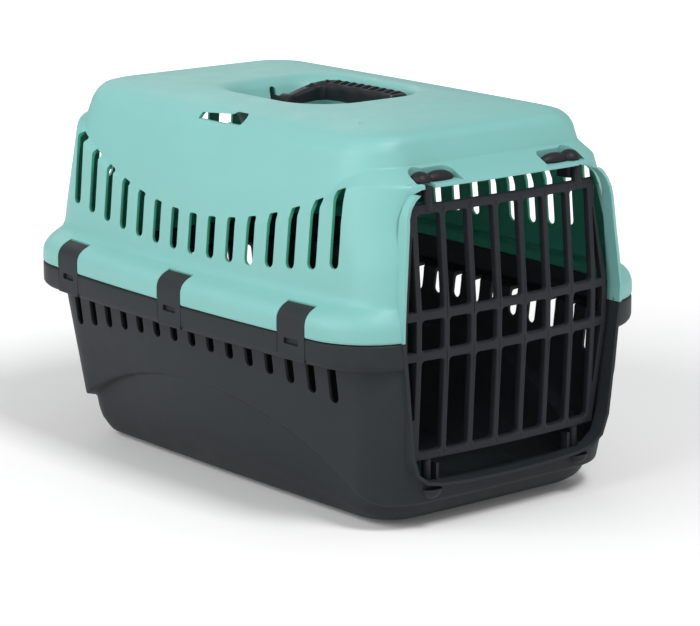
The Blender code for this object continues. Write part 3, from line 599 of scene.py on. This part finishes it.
# the well's levels are (half width, front, rear, corner, height)
WELL_INSIDE = (
    (46.5, 55.0, 64.5, 31.0, RECESS_FLOOR_Z),
    (48.6, 56.8, 66.6, 32.8, RECESS_FLOOR_Z + 0.6),
    (50.0, 58.0, 68.0, 34.0, RECESS_FLOOR_Z + 2.4),
    (53.2, 58.4, 70.6, 35.7, 281.0),
    (57.0, 59.0, 74.0, 38.0, 294.0),
    (58.2, 59.3, 76.2, 38.8, 297.2),
    (59.8, 59.8, 79.2, 40.0, 299.4),
    (62.2, 61.0, 83.4, 42.0, 300.9),
    (65.4, 63.4, 87.8, 45.0, 301.7),
    (69.4, 66.6, 92.4, 49.0, 302.1),
    (74.0, 70.6, 97.4, 53.0, 302.6))
WELL_OUTSIDE = (
    (50.0, 58.0, 68.0, 34.0, RECESS_FLOOR_Z - WALL),
    (57.0, 59.0, 74.0, 38.0, 294.0),
    (61.0, 60.2, 85.0, 42.0, 300.6))
PAD_START = 43.0            # a latch seat's inner and outer end, front and back
PAD_STOP = 86.5
PAD_FRONT = -232.0
PAD_BACK = -189.0
STRAP_REACH = (90.0, 134.0)
DIMPLES = ((77.0, 156.0, 301.2), (78.0, -135.0, 301.6))
DIMPLE_R = (11.5, 11.5, 13.4)
DIMPLE_LIFT = 12.0
PIN_SLOT_ENDS = ((62.0, 80.0), (-68.0, -54.0))
SHELF = (254.0, 275.0)      # heights that the cuts for posts and shafts run between


def shoulder_height(y):
    """The smile-shaped crease that the upper slots stop at."""
    cap = SHOULDER_FRONT_Z if y < 0 else SHOULDER_REAR_Z
    return soft_min(cap, SMILE_Z + SMILE_RISE * (y - SMILE_Y) ** 2, 8.0)


def shoulder_rise(y):
    """The sloping band over the crease, tallest over the door."""
    return 1.2 + 9.6 * clamp((-y - 150.0) / 45.0)


def shell_wall_rings(inset, drop):
    """From the flange's top up to the roof's edge, past the shoulder crease."""
    ys = [spot[1] for spot in level_outline(SHELL_WALL[3])]
    creases = [shoulder_height(y) for y in ys]
    starts = [z + shoulder_rise(y) for y, z in zip(ys, creases)]
    rings = [flat_ring(SHELL_WALL[0], inset)]
    rings.append(draped_ring(SHELL_WALL, [WALL_HEIGHT] * len(ys), inset))
    rings.append(draped_ring(SHELL_WALL, creases, inset, -drop))
    for share in (0.0, 0.4, 0.75, 1.0):
        heights = [z + (DOME_TOP_Z - z) * share for z in starts]
        rings.append(draped_ring(SHELL_DOME, heights, inset, -drop * (1.0 - 0.5 * share)))
    rings.append(flat_ring(SHELL_DOME[-1], inset, -0.6 * drop))
    return rings


def shell_rings():
    """Outside from the roof down to the joint, then back up inside the flange and wall."""
    rings = [flat_ring(level) for level in reversed(SHELL_ROOF)]
    rings += reversed(shell_wall_rings(0.0, 0.0))
    rings += [flat_ring(level) for level in reversed(SHELL_RIM)]
    rings += [flat_ring(level) for level in FLANGE_INSIDE]
    rings += shell_wall_rings(WALL, WALL)
    for level, inset, drop in zip(SHELL_ROOF, (2.0, 1.5, 1.0, 0.5, 0.0),
                                  (1.6, 1.9, 2.1, 2.3, WALL)):
        rings.append(flat_ring(level, inset, -drop))
    return rings


def upper_slot_bottom(y):
    return 186.5 + 5.2e-4 * y * y


def shell_slots():
    half = SLOT_WIDTH / 2
    tools = []
    for y in evenly(SLOT_COUNT, SLOT_PITCH):
        ends = [shoulder_height(y + half) + SLOT_OVERRUN, shoulder_height(y - half) + SLOT_OVERRUN]
        slope = (ends[0] - ends[1]) / SLOT_WIDTH
        points = []
        for side, start, z in ((1, 0.0, ends[0]), (-1, 90.0, ends[1])):
            spot = y + side * (half - SLOT_CORNER)
            lift = z - side * slope * SLOT_CORNER
            points += circle((spot, lift - SLOT_CORNER), SLOT_CORNER, 5, start, 90.0)
        points += circle((y, upper_slot_bottom(y) + half), half, SLOT_STEPS, 180.0, 180.0)
        tools.append(prism("slot", points, "x", -SLOT_REACH, SLOT_REACH))
    return merged("slots", tools)


def well(name, levels, grow):
    """The rounded well in the roof that the handle folds into; grow widens it."""
    rings = []
    for *sizes, z in levels:
        half, front, rear, corner = (size + grow for size in sizes)
        plan = outline(half, front, rear, (corner, corner), 0.0, 0.0)
        rings.append([(x, y, z) for x, y in plan])
    return loft(name, rings)


def pad_body(side):
    """Material for a latch knob's seat, ended by the shell's own outer shape."""
    start, stop, back, bend = PAD_START - WALL, PAD_STOP + WALL, PAD_BACK + WALL, 8.0
    points = [(start, PAD_FRONT), (stop, PAD_FRONT)]
    points += circle((stop - bend, back - bend), bend, 3, 0.0, 90.0)
    points += circle((start + bend, back - bend), bend, 3, 90.0, 90.0)
    pad = prism("pad", [(side * x, y) for x, y in points], "z", PAD_Z - WALL, 285.0)
    levels = [*shell_wall_rings(0.0, 0.0), *(flat_ring(level) for level in SHELL_ROOF)]
    boolean(pad, loft("outer", levels), "INTERSECT")
    return pad


def pad_cut(side):
    """The level seat itself, drawn close round the back of its knob."""
    lever_back, bend, reach = LATCH_Y + 6.6, 7.0, 9.0
    turn = 180.0 - math.degrees(math.asin((lever_back - LATCH_Y) / reach))
    points = [(PAD_START, PAD_FRONT), (DOOR_POST_X + reach, PAD_FRONT)]
    points += circle((DOOR_POST_X, LATCH_Y), reach, 24, 0.0, turn)
    points += circle((PAD_START + bend, lever_back - bend), bend, 8, 90.0, 90.0)
    return prism("pad", [(side * x, y) for x, y in points], "z", PAD_Z, 292.0)


def strap_slots():
    """A narrow slot with a wider thumb notch at its front end, through each shoulder."""
    narrow = [(-14.0, 287.6), (22.5, 287.6), (22.5, 292.2), (-14.0, 294.8)]
    wide = [*circle((-26.9, 292.4), 4.1, SLOT_STEPS, 90.0, 180.0),
            *circle((-16.6, 292.4), 4.1, SLOT_STEPS, -90.0, 180.0)]
    return [prism("strap", points, "x", *(side * reach for reach in STRAP_REACH))
            for side in (1, -1) for points in (narrow, wide)]


# ---- door ----
def door_face(x, z):
    """Front face of the door: folded at the middle band and bowed from side to side."""
    return -reading(DOOR_FACE, z) - DOOR_BOW * (1 - (x / DOOR_BOW_SPAN) ** 2)


# heights where the slanting outer stile changes, with its outer edge and its inner edge
DOOR_STILE = ((55.6, 90.5, None), (62.0, 94.0, None), (88.0, 98.2, 92.9), (132.8, 103.8, 98.6),
              (139.6, 104.6, 99.4), (163.5, 104.6, 99.4), (170.3, 103.8, 98.6),
              (226.0, 94.0, 92.9), (242.2, 92.2, None), (249.0, 90.5, None))
STILE_REACH = 2.4           # the stile is at least this far past the last bar
STILE_WIDTH = 2.2           # and at least this wide
CROSS_BARS = {0, 3, 5, 8}   # row gaps filled from side to side
CLOSED_CORNERS = {1, 7}     # row gaps where the stile has joined the last bar


# ---- pieces ----
def visual_tray(mat):
    """The tray with soft creases and a thin upstand that the shell's flange slips over."""
    tray = loft("tray_moulded", soften(tray_rings(), 2.2), mat)
    upstand = [flat_ring(level) for level in TONGUE]
    upstand += [flat_ring(level, TONGUE_THICK) for level in reversed(TONGUE)]
    join(tray, loft("tongue", upstand, looped=True))
    add_sill(tray)
    join(tray, collar(COLLAR_BOTTOM, JOINT_Z - JOINT_GAP))
    cut(tray, front_opening(), tray_slots(), rear_slots(REAR_SLOTS_TRAY, REAR_LEDGE_REACH),
        clip_seats())
    holes = []
    for side in (1, -1):
        x = side * DOOR_POST_X
        socket = ellipsoid("socket", (x, *SOCKET_SPOT), SOCKET_RADII)
        keep = block("keep", (x - 20.0, x + 20.0), (-240.0, -196.0), (10.0, SILL_Z - 0.6))
        boolean(socket, keep, "INTERSECT")
        finger_x = [x - side * step for step in FINGER_X]
        join(tray, socket, block("finger", finger_x, FINGER_Y, (SILL_Z - 1.0, FINGER_TOP)))
        holes.append(prism("hole", circle((x, DOOR_POST_Y), DOOR_POST_R + 0.8), "z",
                           SILL_Z + 0.4, 60.0))
    cut(tray, merged("holes", holes))
    for side in (1, -1):
        for end in (1, -1):
            join(tray, turned("foot", (side * FOOT_X, end * FOOT_Y), FOOT_R,
                              ((0.0, 0.8), (0.3, 0.3), (0.9, 0.0), (FLOOR_Z + 1.0, 0.0))))
    settle(tray)
    return tray


def paint_shade_inside(shell, shade_mat):
    """Paint shade on the shell: its inner faces and slot walls get a darker, greener copy of the
    mint, except in the well.
    """
    shell.data.materials.append(shade_mat)
    middle = Vector((0.0, 0.0, 0.16))
    for face in shell.data.polygons:
        x, y, z = (c / MM for c in face.center)
        in_well = abs(x) < 75.0 and -72.0 < y < 99.0 and z > RECESS_FLOOR_Z - 0.5
        inward = face.normal.dot(middle - face.center) > 0.0
        in_slot = (abs(face.normal.x) < 0.3 and abs(face.normal.z) < 0.85 and abs(x) > 118.0
                   and 182.0 < z < 284.0 and abs(y) < 185.0)
        if in_slot or (inward and not in_well and y > -204.0):
            face.material_index = 1


def visual_shell(mat, shade_mat):
    """The shell with soft creases, its well, latch seats, slots and stacking dimples."""
    shell = loft("shell_moulded", soften(shell_rings(), 2.4), mat)
    join(shell, well("well", WELL_OUTSIDE, WALL))
    cut(shell, well("well_inside", WELL_INSIDE, 0.0))
    border = collar(JOINT_Z, COLLAR_TOP)
    cut(border, span("middle", COLLAR_GAP_X, 140.0, 280.0))
    join(shell, border)
    for side in (1, -1):
        join(shell, pad_body(side))
        cut(shell, pad_cut(side))
    cut(shell, merged("dimples", [ellipsoid("dimple", (side * x, y, z + DIMPLE_LIFT), DIMPLE_R)
                                  for x, y, z in DIMPLES for side in (1, -1)]))
    cut(shell, front_opening(), shell_slots(), rear_slots(REAR_SLOTS_SHELL, 230.0),
        clip_seats(), *strap_slots())
    pin_slot = []
    for lift, start in ((0.0, 180.0), (HANDLE_LIFT, 0.0)):
        pin_slot += circle((0.0, HANDLE_AXIS_Z + lift), HANDLE_PIN_R + 0.4, SLOT_STEPS, start,
                           180.0)
    for low, high in PIN_SLOT_ENDS:
        cut(shell, prism("pin_slot", pin_slot, "y", low, high))
    for side in (1, -1):
        x = side * DOOR_POST_X
        reach = DOOR_POST_R + 0.7
        notch = [*circle((x, DOOR_POST_Y), reach, SLOT_STEPS, 0.0, 180.0),
                 (x - reach, PAD_FRONT), (x + reach, PAD_FRONT)]
        hole = circle((x, LATCH_Y), LATCH_SHAFT_R + 0.3, 20)
        cut(shell, prism("notch", notch, "z", *SHELF), prism("hole", hole, "z", *SHELF))
    settle(shell)
    # painted shade: darker, greener mint on the inner faces and slot walls
    paint_shade_inside(shell, shade_mat)
    return shell


def door_grid():
    """The door's lines from the bottom up: each height, with the places where cells start."""
    edge = DOOR_BAR_PITCH * (DOOR_BARS - 1) / 2 + DOOR_BAR_WIDTH / 2
    bars = []
    for middle in evenly(DOOR_BARS, DOOR_BAR_PITCH):
        bars += [middle - DOOR_BAR_WIDTH / 2, middle + DOOR_BAR_WIDTH / 2]
    rows = []
    for z, outer, inner in DOOR_STILE:
        outer = max(outer, edge + STILE_REACH)
        inner = (edge + outer) / 2 if inner is None else min(inner, outer - STILE_WIDTH)
        rows.append((z, [-outer, -inner, *bars, inner, outer]))
    return rows


def door_panel(mat):
    """A grid of cells, solid where a bar runs, given depth front to back."""
    rows = door_grid()
    columns = len(rows[0][1]) - 1
    # columns run: stile, gap, bar, gap, ... bar, gap, stile
    solid_columns = {0, columns - 1, *range(2, columns - 1, 2)}

    def solid(row, column):
        if not (0 <= row < len(rows) - 1 and 0 <= column < columns):
            return False
        if row in CROSS_BARS:
            return True
        if row in CLOSED_CORNERS and column in (1, columns - 2):
            return True
        return column in solid_columns

    width = columns + 1
    verts = []
    for z, xs in rows:
        verts += [(x, door_face(x, z), z) for x in xs]
    back = len(verts)
    verts += [(x, y + DOOR_DEPTH, z) for x, y, z in verts]
    faces = []
    for row in range(len(rows) - 1):
        for column in range(columns):
            if not solid(row, column):
                continue
            a = row * width + column
            b, c, d = a + 1, a + 1 + width, a + width
            faces += [[a, b, c, d], [d + back, c + back, b + back, a + back]]
            for near, far, start, end in ((row - 1, column, a, b), (row, column + 1, b, c),
                                          (row + 1, column, c, d), (row, column - 1, d, a)):
                if not solid(near, far):
                    faces.append([end, start, start + back, end + back])
    used = sorted({i for face in faces for i in face})
    index = {old: new for new, old in enumerate(used)}
    return mesh_object("door_moulded", [verts[i] for i in used],
                       [[index[i] for i in face] for face in faces], mat)


def round_door(door):
    """Round the corners of the windows between the bars, then every front and back edge."""
    shape = bmesh.new()
    shape.from_mesh(door.data)
    last_bar = (DOOR_BARS - 1) / 2 * DOOR_BAR_PITCH

    def sharp(rib):
        return rib.calc_face_angle(0.0) > math.radians(50)

    def depthwise(rib):
        return abs((rib.verts[1].co - rib.verts[0].co).normalized().y)

    def bevel(ribs, offset, segments):
        bmesh.ops.bevel(shape, geom=ribs, offset=offset * MM, segments=segments, profile=0.5,
                        affect="EDGES", clamp_overlap=False)

    bevel([rib for rib in shape.edges
           if abs(rib.verts[0].co.x) / MM < last_bar and depthwise(rib) > 0.99
           and not rib.is_convex and sharp(rib)], DOOR_WINDOW_CORNER, 5)
    shape.normal_update()
    bevel([rib for rib in shape.edges if depthwise(rib) < 0.5 and sharp(rib)], DOOR_EDGE, 3)
    shape.to_mesh(door.data)
    shape.free()


def visual_door(mat):
    """The grille with its two upper posts and two lower pins."""
    door = door_panel(mat)
    round_door(door)
    for side in (1, -1):
        spot = (side * DOOR_POST_X, DOOR_POST_Y)
        join(door, turned("post", spot, DOOR_POST_R,
                          ((244.0, 0.0), (POST_TOP - 0.8, 0.0), (POST_TOP - 0.2, 0.3),
                           (POST_TOP, 0.9))),
             turned("pin", spot, DOOR_POST_R,
                    ((POST_BOTTOM, 0.9), (POST_BOTTOM + 0.3, 0.3), (POST_BOTTOM + 0.9, 0.0),
                     (60.0, 0.0))))
    settle(door, 40.0)
    return door


def visual_knob(side, word, mat):
    """Two lobes blended into each other, on a round shaft."""
    x = side * DOOR_POST_X
    knob = ellipsoid(f"knob_{word}_moulded", (x, LATCH_Y, LATCH_BASE_Z), KNOB_DOME)
    inward, forward = KNOB_LEVER_SHIFT
    join(knob, ellipsoid("lever", (x - side * inward, LATCH_Y - forward, LATCH_BASE_Z),
                         KNOB_LEVER))
    cut(knob, block("under", (x - 40.0, x + 40.0), (-215.0, -180.0), (250.0, LATCH_BASE_Z)))
    join(knob, prism("shaft", circle((x, LATCH_Y), LATCH_SHAFT_R), "z", LATCH_SHAFT_END,
                     LATCH_BASE_Z + 2.0))
    knob.data.materials.clear()
    knob.data.materials.append(mat)
    mould = knob.modifiers.new("mould", "REMESH")
    mould.mode = "VOXEL"
    mould.voxel_size = KNOB_VOXEL * MM
    mould.use_smooth_shade = True
    relax = knob.modifiers.new("relax", "SMOOTH")
    relax.factor = 0.5
    relax.iterations = 8
    return knob


def visual_clip(side, y, name, mat):
    """A strap hooked over the flange, with a small window and a rolled lower edge."""
    skin = -CLIP_SEAT + CLIP_GAP
    inner = [(skin, 162.6), (-3.0, 164.9), (-4.2, 166.8), (-6.0, 168.4), (-8.2, 169.7),
             (-12.6, 171.6)]
    outer = [(-12.3, 172.9), (-11.8, 173.5), (-9.4, 172.7), (-7.2, 171.8), (-4.7, 170.3),
             (-2.7, 168.4), (-1.1, 165.9), (skin + CLIP_THICK, 163.4)]
    roll = circle((CLIP_AXIS_X, CLIP_AXIS_Z), CLIP_ROLL_R, 14, 10.0, -200.0)
    profile = [*inner, *outer, (skin + CLIP_THICK, CLIP_AXIS_Z + 3.0), *roll]
    clip = prism(f"{name}_moulded", profile, "y", -CLIP_WIDTH / 2, CLIP_WIDTH / 2, mat)
    half, low, high = CLIP_WINDOW
    bend = CLIP_WINDOW_CORNER
    window = []
    for cy, cz, start in ((half - bend, high - bend, 0.0), (-half + bend, high - bend, 90.0),
                          (-half + bend, low + bend, 180.0), (half - bend, low + bend, 270.0)):
        window += circle((cy, cz), bend, 4, start, 90.0)
    cut(clip, prism("window", window, "x", -20.0, 20.0))
    clip.matrix_world = clip_frame(side, y)
    settle(clip, 30.0)
    rounded_edges(clip, 0.5, 40.0, 3)
    return clip


def handle_line(steps):
    """Evenly spaced points along the folded U, with their distance from its middle."""
    bend = HANDLE_CORNER
    top = HANDLE_HALF - bend
    leg = [(i * 0.7, -HANDLE_HALF) for i in range(12)]
    leg += circle((HANDLE_REACH - bend, -top), bend, 24, -90.0, 90.0)
    bar = [top * (i / 15 - 1) for i in range(1, 30)]
    path = [Vector(spot) for spot in
            (*leg, *((HANDLE_REACH + 0.8 * (1 - (y / top) ** 2), y) for y in bar),
             *((x, -y) for x, y in reversed(leg)))]
    lengths = [0.0]
    for a, b in zip(path, path[1:]):
        lengths.append(lengths[-1] + (b - a).length)
    spots = []
    k = 0
    for i in range(steps + 1):
        want = lengths[-1] * i / steps
        while k < len(path) - 2 and lengths[k + 1] < want:
            k += 1
        part = (want - lengths[k]) / max(lengths[k + 1] - lengths[k], 0.001)
        spots.append((path[k].lerp(path[k + 1], part), want - lengths[-1] / 2))
    return spots


def rounded_wave(value):
    """A sine or cosine pushed outward, so that a round section becomes a soft rectangle."""
    return math.copysign(abs(value) ** 0.55, value)


def handle_rings(steps, turns):
    """Cross ribs stand between pockets on top; finger bumps run along the inner side."""
    spots = handle_line(steps)
    rings = []
    for i, (here, along) in enumerate(spots):
        ahead = spots[min(i + 1, len(spots) - 1)][0] - spots[max(i - 1, 0)][0]
        across = Vector((ahead.y, -ahead.x)).normalized()
        grip = clamp((here.x - GRIP_START) / GRIP_BLEND)
        half_wide, half_thick = (leg + (bar - leg) * grip
                                 for leg, bar in zip(HANDLE_LEG, HANDLE_GRIP))
        ribbed = clamp((RIB_REACH - abs(along)) / 2.0)
        wave = math.cos(2 * math.pi * along / RIB_PITCH)
        pocket = ribbed * RIB_DEPTH * clamp((0.78 - wave) * 4.5)
        fingers = 0.5 + 0.5 * math.cos(2 * math.pi * along / FINGER_PITCH)
        bump = FINGER_BUMP * grip * fingers
        section = []
        for turn in range(turns):
            angle = 2 * math.pi * turn / turns
            wide = rounded_wave(math.cos(angle))
            thick = rounded_wave(math.sin(angle))
            inner = max(-wide, 0.0)
            on_top = clamp(thick * 6.0 - 4.6) * clamp(3.2 - 4.4 * abs(wide - 0.12))
            spot = here + across * (half_wide * wide + bump * inner)
            rise = HANDLE_TILT * spot.x + half_thick * thick - pocket * on_top
            section.append((spot.x, spot.y + HANDLE_MID_Y, HANDLE_AXIS_Z + rise))
        rings.append(section)
    return rings


def visual_handle(mat):
    """The folding handle with a round boss and a bore at each pivot."""
    handle = loft("handle_moulded", handle_rings(420, 72), mat)
    bosses = []
    bores = []
    for end in (1, -1):
        y = HANDLE_MID_Y + end * HANDLE_HALF
        axis = (0.0, HANDLE_AXIS_Z)
        boss = [[(x, y + shift, z) for x, z in circle(axis, HANDLE_BOSS_R - rim, 36)]
                for shift, rim in ((-6.6, 0.8), (-6.2, 0.2), (-5.6, 0.0), (5.6, 0.0),
                                   (6.2, 0.2), (6.6, 0.8))]
        bosses.append(loft("boss", boss))
        bore = circle(axis, HANDLE_PIN_R + 0.2)
        start, stop = sorted((y - end * 4.0, y + end * 12.0))
        bores.append(prism("bore", bore, "y", start, stop))
    join(handle, merged("bosses", bosses))
    cut(handle, merged("bores", bores))
    settle(handle, 45.0)
    return handle


# ---- materials ----
class Nodes:
    """Short calls for building a shader tree."""

    def __init__(self, name):
        self.mat = bpy.data.materials.new(name)
        self.mat.use_nodes = True
        self.tree = self.mat.node_tree
        self.shader = self.tree.nodes["Principled BSDF"]

    def add(self, kind, **values):
        node = self.tree.nodes.new(kind)
        for key, value in values.items():
            if key in node.inputs:
                node.inputs[key].default_value = value
            else:
                setattr(node, key, value)
        return node

    def link(self, out, socket):
        self.tree.links.new(out, socket)

    def noise(self, coords, scale, detail=2.0, rough=0.5):
        node = self.add("ShaderNodeTexNoise", Scale=scale, Detail=detail, Roughness=rough)
        self.link(coords, node.inputs["Vector"])
        return node.outputs["Fac"]

    def ramp(self, value, low, high, first, last):
        node = self.add("ShaderNodeMapRange")
        for name, limit in (("From Min", low), ("From Max", high), ("To Min", first),
                            ("To Max", last)):
            node.inputs[name].default_value = limit
        self.link(value, node.inputs["Value"])
        return node.outputs["Result"]

    def combine(self, kind, operation, first, second):
        node = self.add(kind, operation=operation)
        self.link(first, node.inputs[0])
        self.link(second, node.inputs[1])
        return node

    def mix(self, share, first, last):
        node = self.add("ShaderNodeMix", data_type="RGBA")
        for slot_name, value in (("A", first), ("B", last)):
            socket = [s for s in node.inputs if s.name == slot_name and s.type == "RGBA"][0]
            if isinstance(value, tuple):
                socket.default_value = (*value, 1.0)
            else:
                self.link(value, socket)
        self.link(share, [s for s in node.inputs if s.name == "Factor"][0])
        return [s for s in node.outputs if s.type == "RGBA"][0]


def moulded_plastic(name, colour, worn, dusty, roughness, grain, grain_depth, shine):
    """Matt moulded polymer: fine spark-eroded grain, soft colour drift, rubbed edges, dust."""
    n = Nodes(name)
    coords = n.add("ShaderNodeTexCoord").outputs["Object"]
    broad = n.noise(coords, 9.0, 3.0)
    patchy = n.noise(coords, 55.0, 4.0, 0.6)
    drift = n.mix(n.ramp(broad, 0.3, 0.7, 0.0, 1.0), colour,
                  tuple(c * 0.94 for c in colour))
    drift = n.mix(n.ramp(patchy, 0.45, 0.8, 0.0, 0.35), drift, dusty)
    rounded = n.add("ShaderNodeBevel", samples=4)
    rounded.inputs["Radius"].default_value = WORN_RADIUS
    geometry = n.add("ShaderNodeNewGeometry")
    facing = n.combine("ShaderNodeVectorMath", "DOT_PRODUCT", rounded.outputs["Normal"],
                       geometry.outputs["Normal"])
    edge = n.ramp(facing.outputs["Value"], 0.8, 0.99, 0.55, 0.0)
    scuffed = n.noise(coords, 260.0, 3.0, 0.7)
    wear = n.combine("ShaderNodeMath", "MULTIPLY", edge, n.ramp(scuffed, 0.35, 0.65, 0.25, 1.0))
    n.link(n.mix(wear.outputs[0], drift, worn), n.shader.inputs["Base Color"])
    n.link(n.ramp(patchy, 0.3, 0.7, roughness - 0.04, roughness + 0.06),
           n.shader.inputs["Roughness"])
    n.shader.inputs["Specular IOR Level"].default_value = shine
    fine = n.noise(coords, grain, 2.0, 0.6)
    pits = n.add("ShaderNodeTexVoronoi", Scale=grain * 0.6)
    n.link(coords, pits.inputs["Vector"])
    height = n.combine("ShaderNodeMath", "ADD", fine,
                       n.ramp(pits.outputs["Distance"], 0.0, 0.8, 0.0, 0.6))
    bump = n.add("ShaderNodeBump")
    bump.inputs["Strength"].default_value = grain_depth
    bump.inputs["Distance"].default_value = GRAIN_HEIGHT
    n.link(height.outputs[0], bump.inputs["Height"])
    n.link(rounded.outputs["Normal"], bump.inputs["Normal"])
    n.link(bump.outputs["Normal"], n.shader.inputs["Normal"])
    return n.mat


WORN_RADIUS = 0.0007        # how far rubbed edges reach, and the height of the grain
GRAIN_HEIGHT = 0.0004
# name, colour, rubbed edges, dust, roughness, how fine and how deep the grain is, and shine
PLASTICS = (
    ("mint_polymer", (0.180, 0.425, 0.400), (0.27, 0.54, 0.50), (0.190, 0.420, 0.392),
     0.46, 1400.0, 0.12, 0.42),
    # painted shade: a darker, greener copy of the mint for the shell's inner faces and slot walls
    ("mint_polymer_painted_shade", (0.040, 0.300, 0.200), (0.08, 0.38, 0.28), (0.05, 0.29, 0.20),
     0.5, 1400.0, 0.12, 0.3),
    ("charcoal_polymer", (0.021, 0.025, 0.028), (0.06, 0.065, 0.07), (0.030, 0.034, 0.037),
     0.5, 1500.0, 0.14, 0.14),
    ("grille_polymer", (0.017, 0.019, 0.023), (0.05, 0.053, 0.06), (0.024, 0.026, 0.030),
     0.46, 1700.0, 0.10, 0.16),
    ("latch_polymer", (0.016, 0.015, 0.018), (0.05, 0.048, 0.054), (0.022, 0.021, 0.025),
     0.46, 1700.0, 0.07, 0.2),
    ("handle_polymer", (0.012, 0.014, 0.016), (0.05, 0.053, 0.058), (0.018, 0.020, 0.022),
     0.45, 1700.0, 0.12, 0.2))


# ---- studio ----
CAMERA_SPOT = (-1.51045, -1.85579, 0.67294)
CAMERA_TURN = (-39.537, 13.039)     # degrees round the carrier and above the floor
CAMERA_LENS = 155.63
WORLD_STRENGTH = 0.42
FLOOR_REACH = 6.0
# name, place, what it faces, size and power; all in metres and watts
SOFTBOXES = (("left_softbox", (-2.1, 0.2, 1.35), (0.0, 0.0, 0.15), (2.4, 1.8), 40.0),
             ("front_softbox", (-0.1, -1.6, 2.4), (0.0, 0.0, 0.15), (0.8, 0.8), 46.0),
             ("rear_softbox", (0.9, 2.6, 1.5), (0.0, 0.0, 0.2), (2.4, 1.0), 10.0))


def soft_light(name, spot, target, size, power):
    light = bpy.data.lights.new(name, "AREA")
    light.shape = "RECTANGLE"
    light.size, light.size_y = size
    light.energy = power
    lamp = scene_object(name, light)
    lamp.location = spot
    lamp.rotation_euler = (Vector(spot) - Vector(target)).to_track_quat("Z", "Y").to_euler()


def studio_camera():
    azimuth, rise = (math.radians(angle) for angle in CAMERA_TURN)
    view = bpy.data.cameras.new("studio_camera")
    view.lens = CAMERA_LENS
    view.sensor_width = 36.0
    view.sensor_fit = "HORIZONTAL"
    camera = scene_object("studio_camera", view)
    camera.location = CAMERA_SPOT
    camera.rotation_euler = (math.pi / 2 - rise, 0.0, azimuth)
    bpy.context.scene.camera = camera


def studio():
    """Camera, plain white surround, three softboxes and a pale floor that glows more with distance
    from the carrier: painted light that whitens the far floor, with less glow round the base.
    """
    studio_camera()
    bpy.context.scene.view_settings.view_transform = "Standard"
    world = bpy.data.worlds.new("studio_white")
    bpy.context.scene.world = world
    world.use_nodes = True
    surround = world.node_tree.nodes["Background"]
    surround.inputs["Color"].default_value = (1.0, 1.0, 1.0, 1.0)
    surround.inputs["Strength"].default_value = WORLD_STRENGTH
    for light in SOFTBOXES:
        soft_light(*light)
    reach = FLOOR_REACH
    sheet = bpy.data.meshes.new("studio_floor")
    sheet.from_pydata([(-reach, -reach, 0.0), (reach, -reach, 0.0), (reach, reach, 0.0),
                       (-reach, reach, 0.0)], [], [(0, 1, 2, 3)])
    floor = scene_object("studio_floor", sheet)
    paper = Nodes("studio_paper")
    coords = paper.add("ShaderNodeTexCoord").outputs["Object"]
    tone = paper.mix(paper.noise(coords, 3.0), (0.84, 0.84, 0.84), (0.82, 0.82, 0.82))
    paper.link(tone, paper.shader.inputs["Base Color"])
    for name, value in (("Roughness", 0.8), ("Specular IOR Level", 0.1),
                        ("Emission Color", (1.0, 1.0, 1.0, 1.0))):
        paper.shader.inputs[name].default_value = value
    # painted light: the floor's glow is faint near the carrier, leaving the floor round its base
    # darker, and grows further off, fading the floor to white
    away = paper.add("ShaderNodeVectorMath", operation="LENGTH")
    paper.link(coords, away.inputs[0])
    paper.link(paper.ramp(away.outputs["Value"], 0.4, 1.3, 0.05, 0.6),
               paper.shader.inputs["Emission Strength"])
    sheet.materials.append(paper.mat)


# ---- assembly ----
def place(piece, body, node):
    """Let a piece ride a body in place of a node, which is hidden."""
    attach(piece, body)
    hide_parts(node)


def main():
    # inner is the mint with painted shade, for the shell's inner faces and slot walls
    mint, inner, charcoal, grille, gloss, grip = (moulded_plastic(*row) for row in PLASTICS)
    place(visual_tray(charcoal), "carrier", "bottom_tray")
    place(visual_shell(mint, inner), "carrier", "top_shell")
    place(visual_door(grille), "door", "door_grille")
    for side, word in ((1, "right"), (-1, "left")):
        place(visual_knob(side, word, gloss), f"latch_{word}", f"latch_knob_{word}")
        for y, spot in zip(CLIP_Y, CLIP_NAMES):
            node = f"clip_{word}_{spot}"
            place(visual_clip(side, y, node, charcoal), node, node)
    place(visual_handle(grip), "handle", "carry_handle")
    for name, mat in (("latch_cam_left", gloss), ("latch_cam_right", gloss),
                      ("handle_pin_front", grip), ("handle_pin_rear", grip)):
        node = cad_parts[name]
        node.data.materials.clear()
        node.data.materials.append(mat)
        rounded_edges(node, 0.3)
    studio()


main()
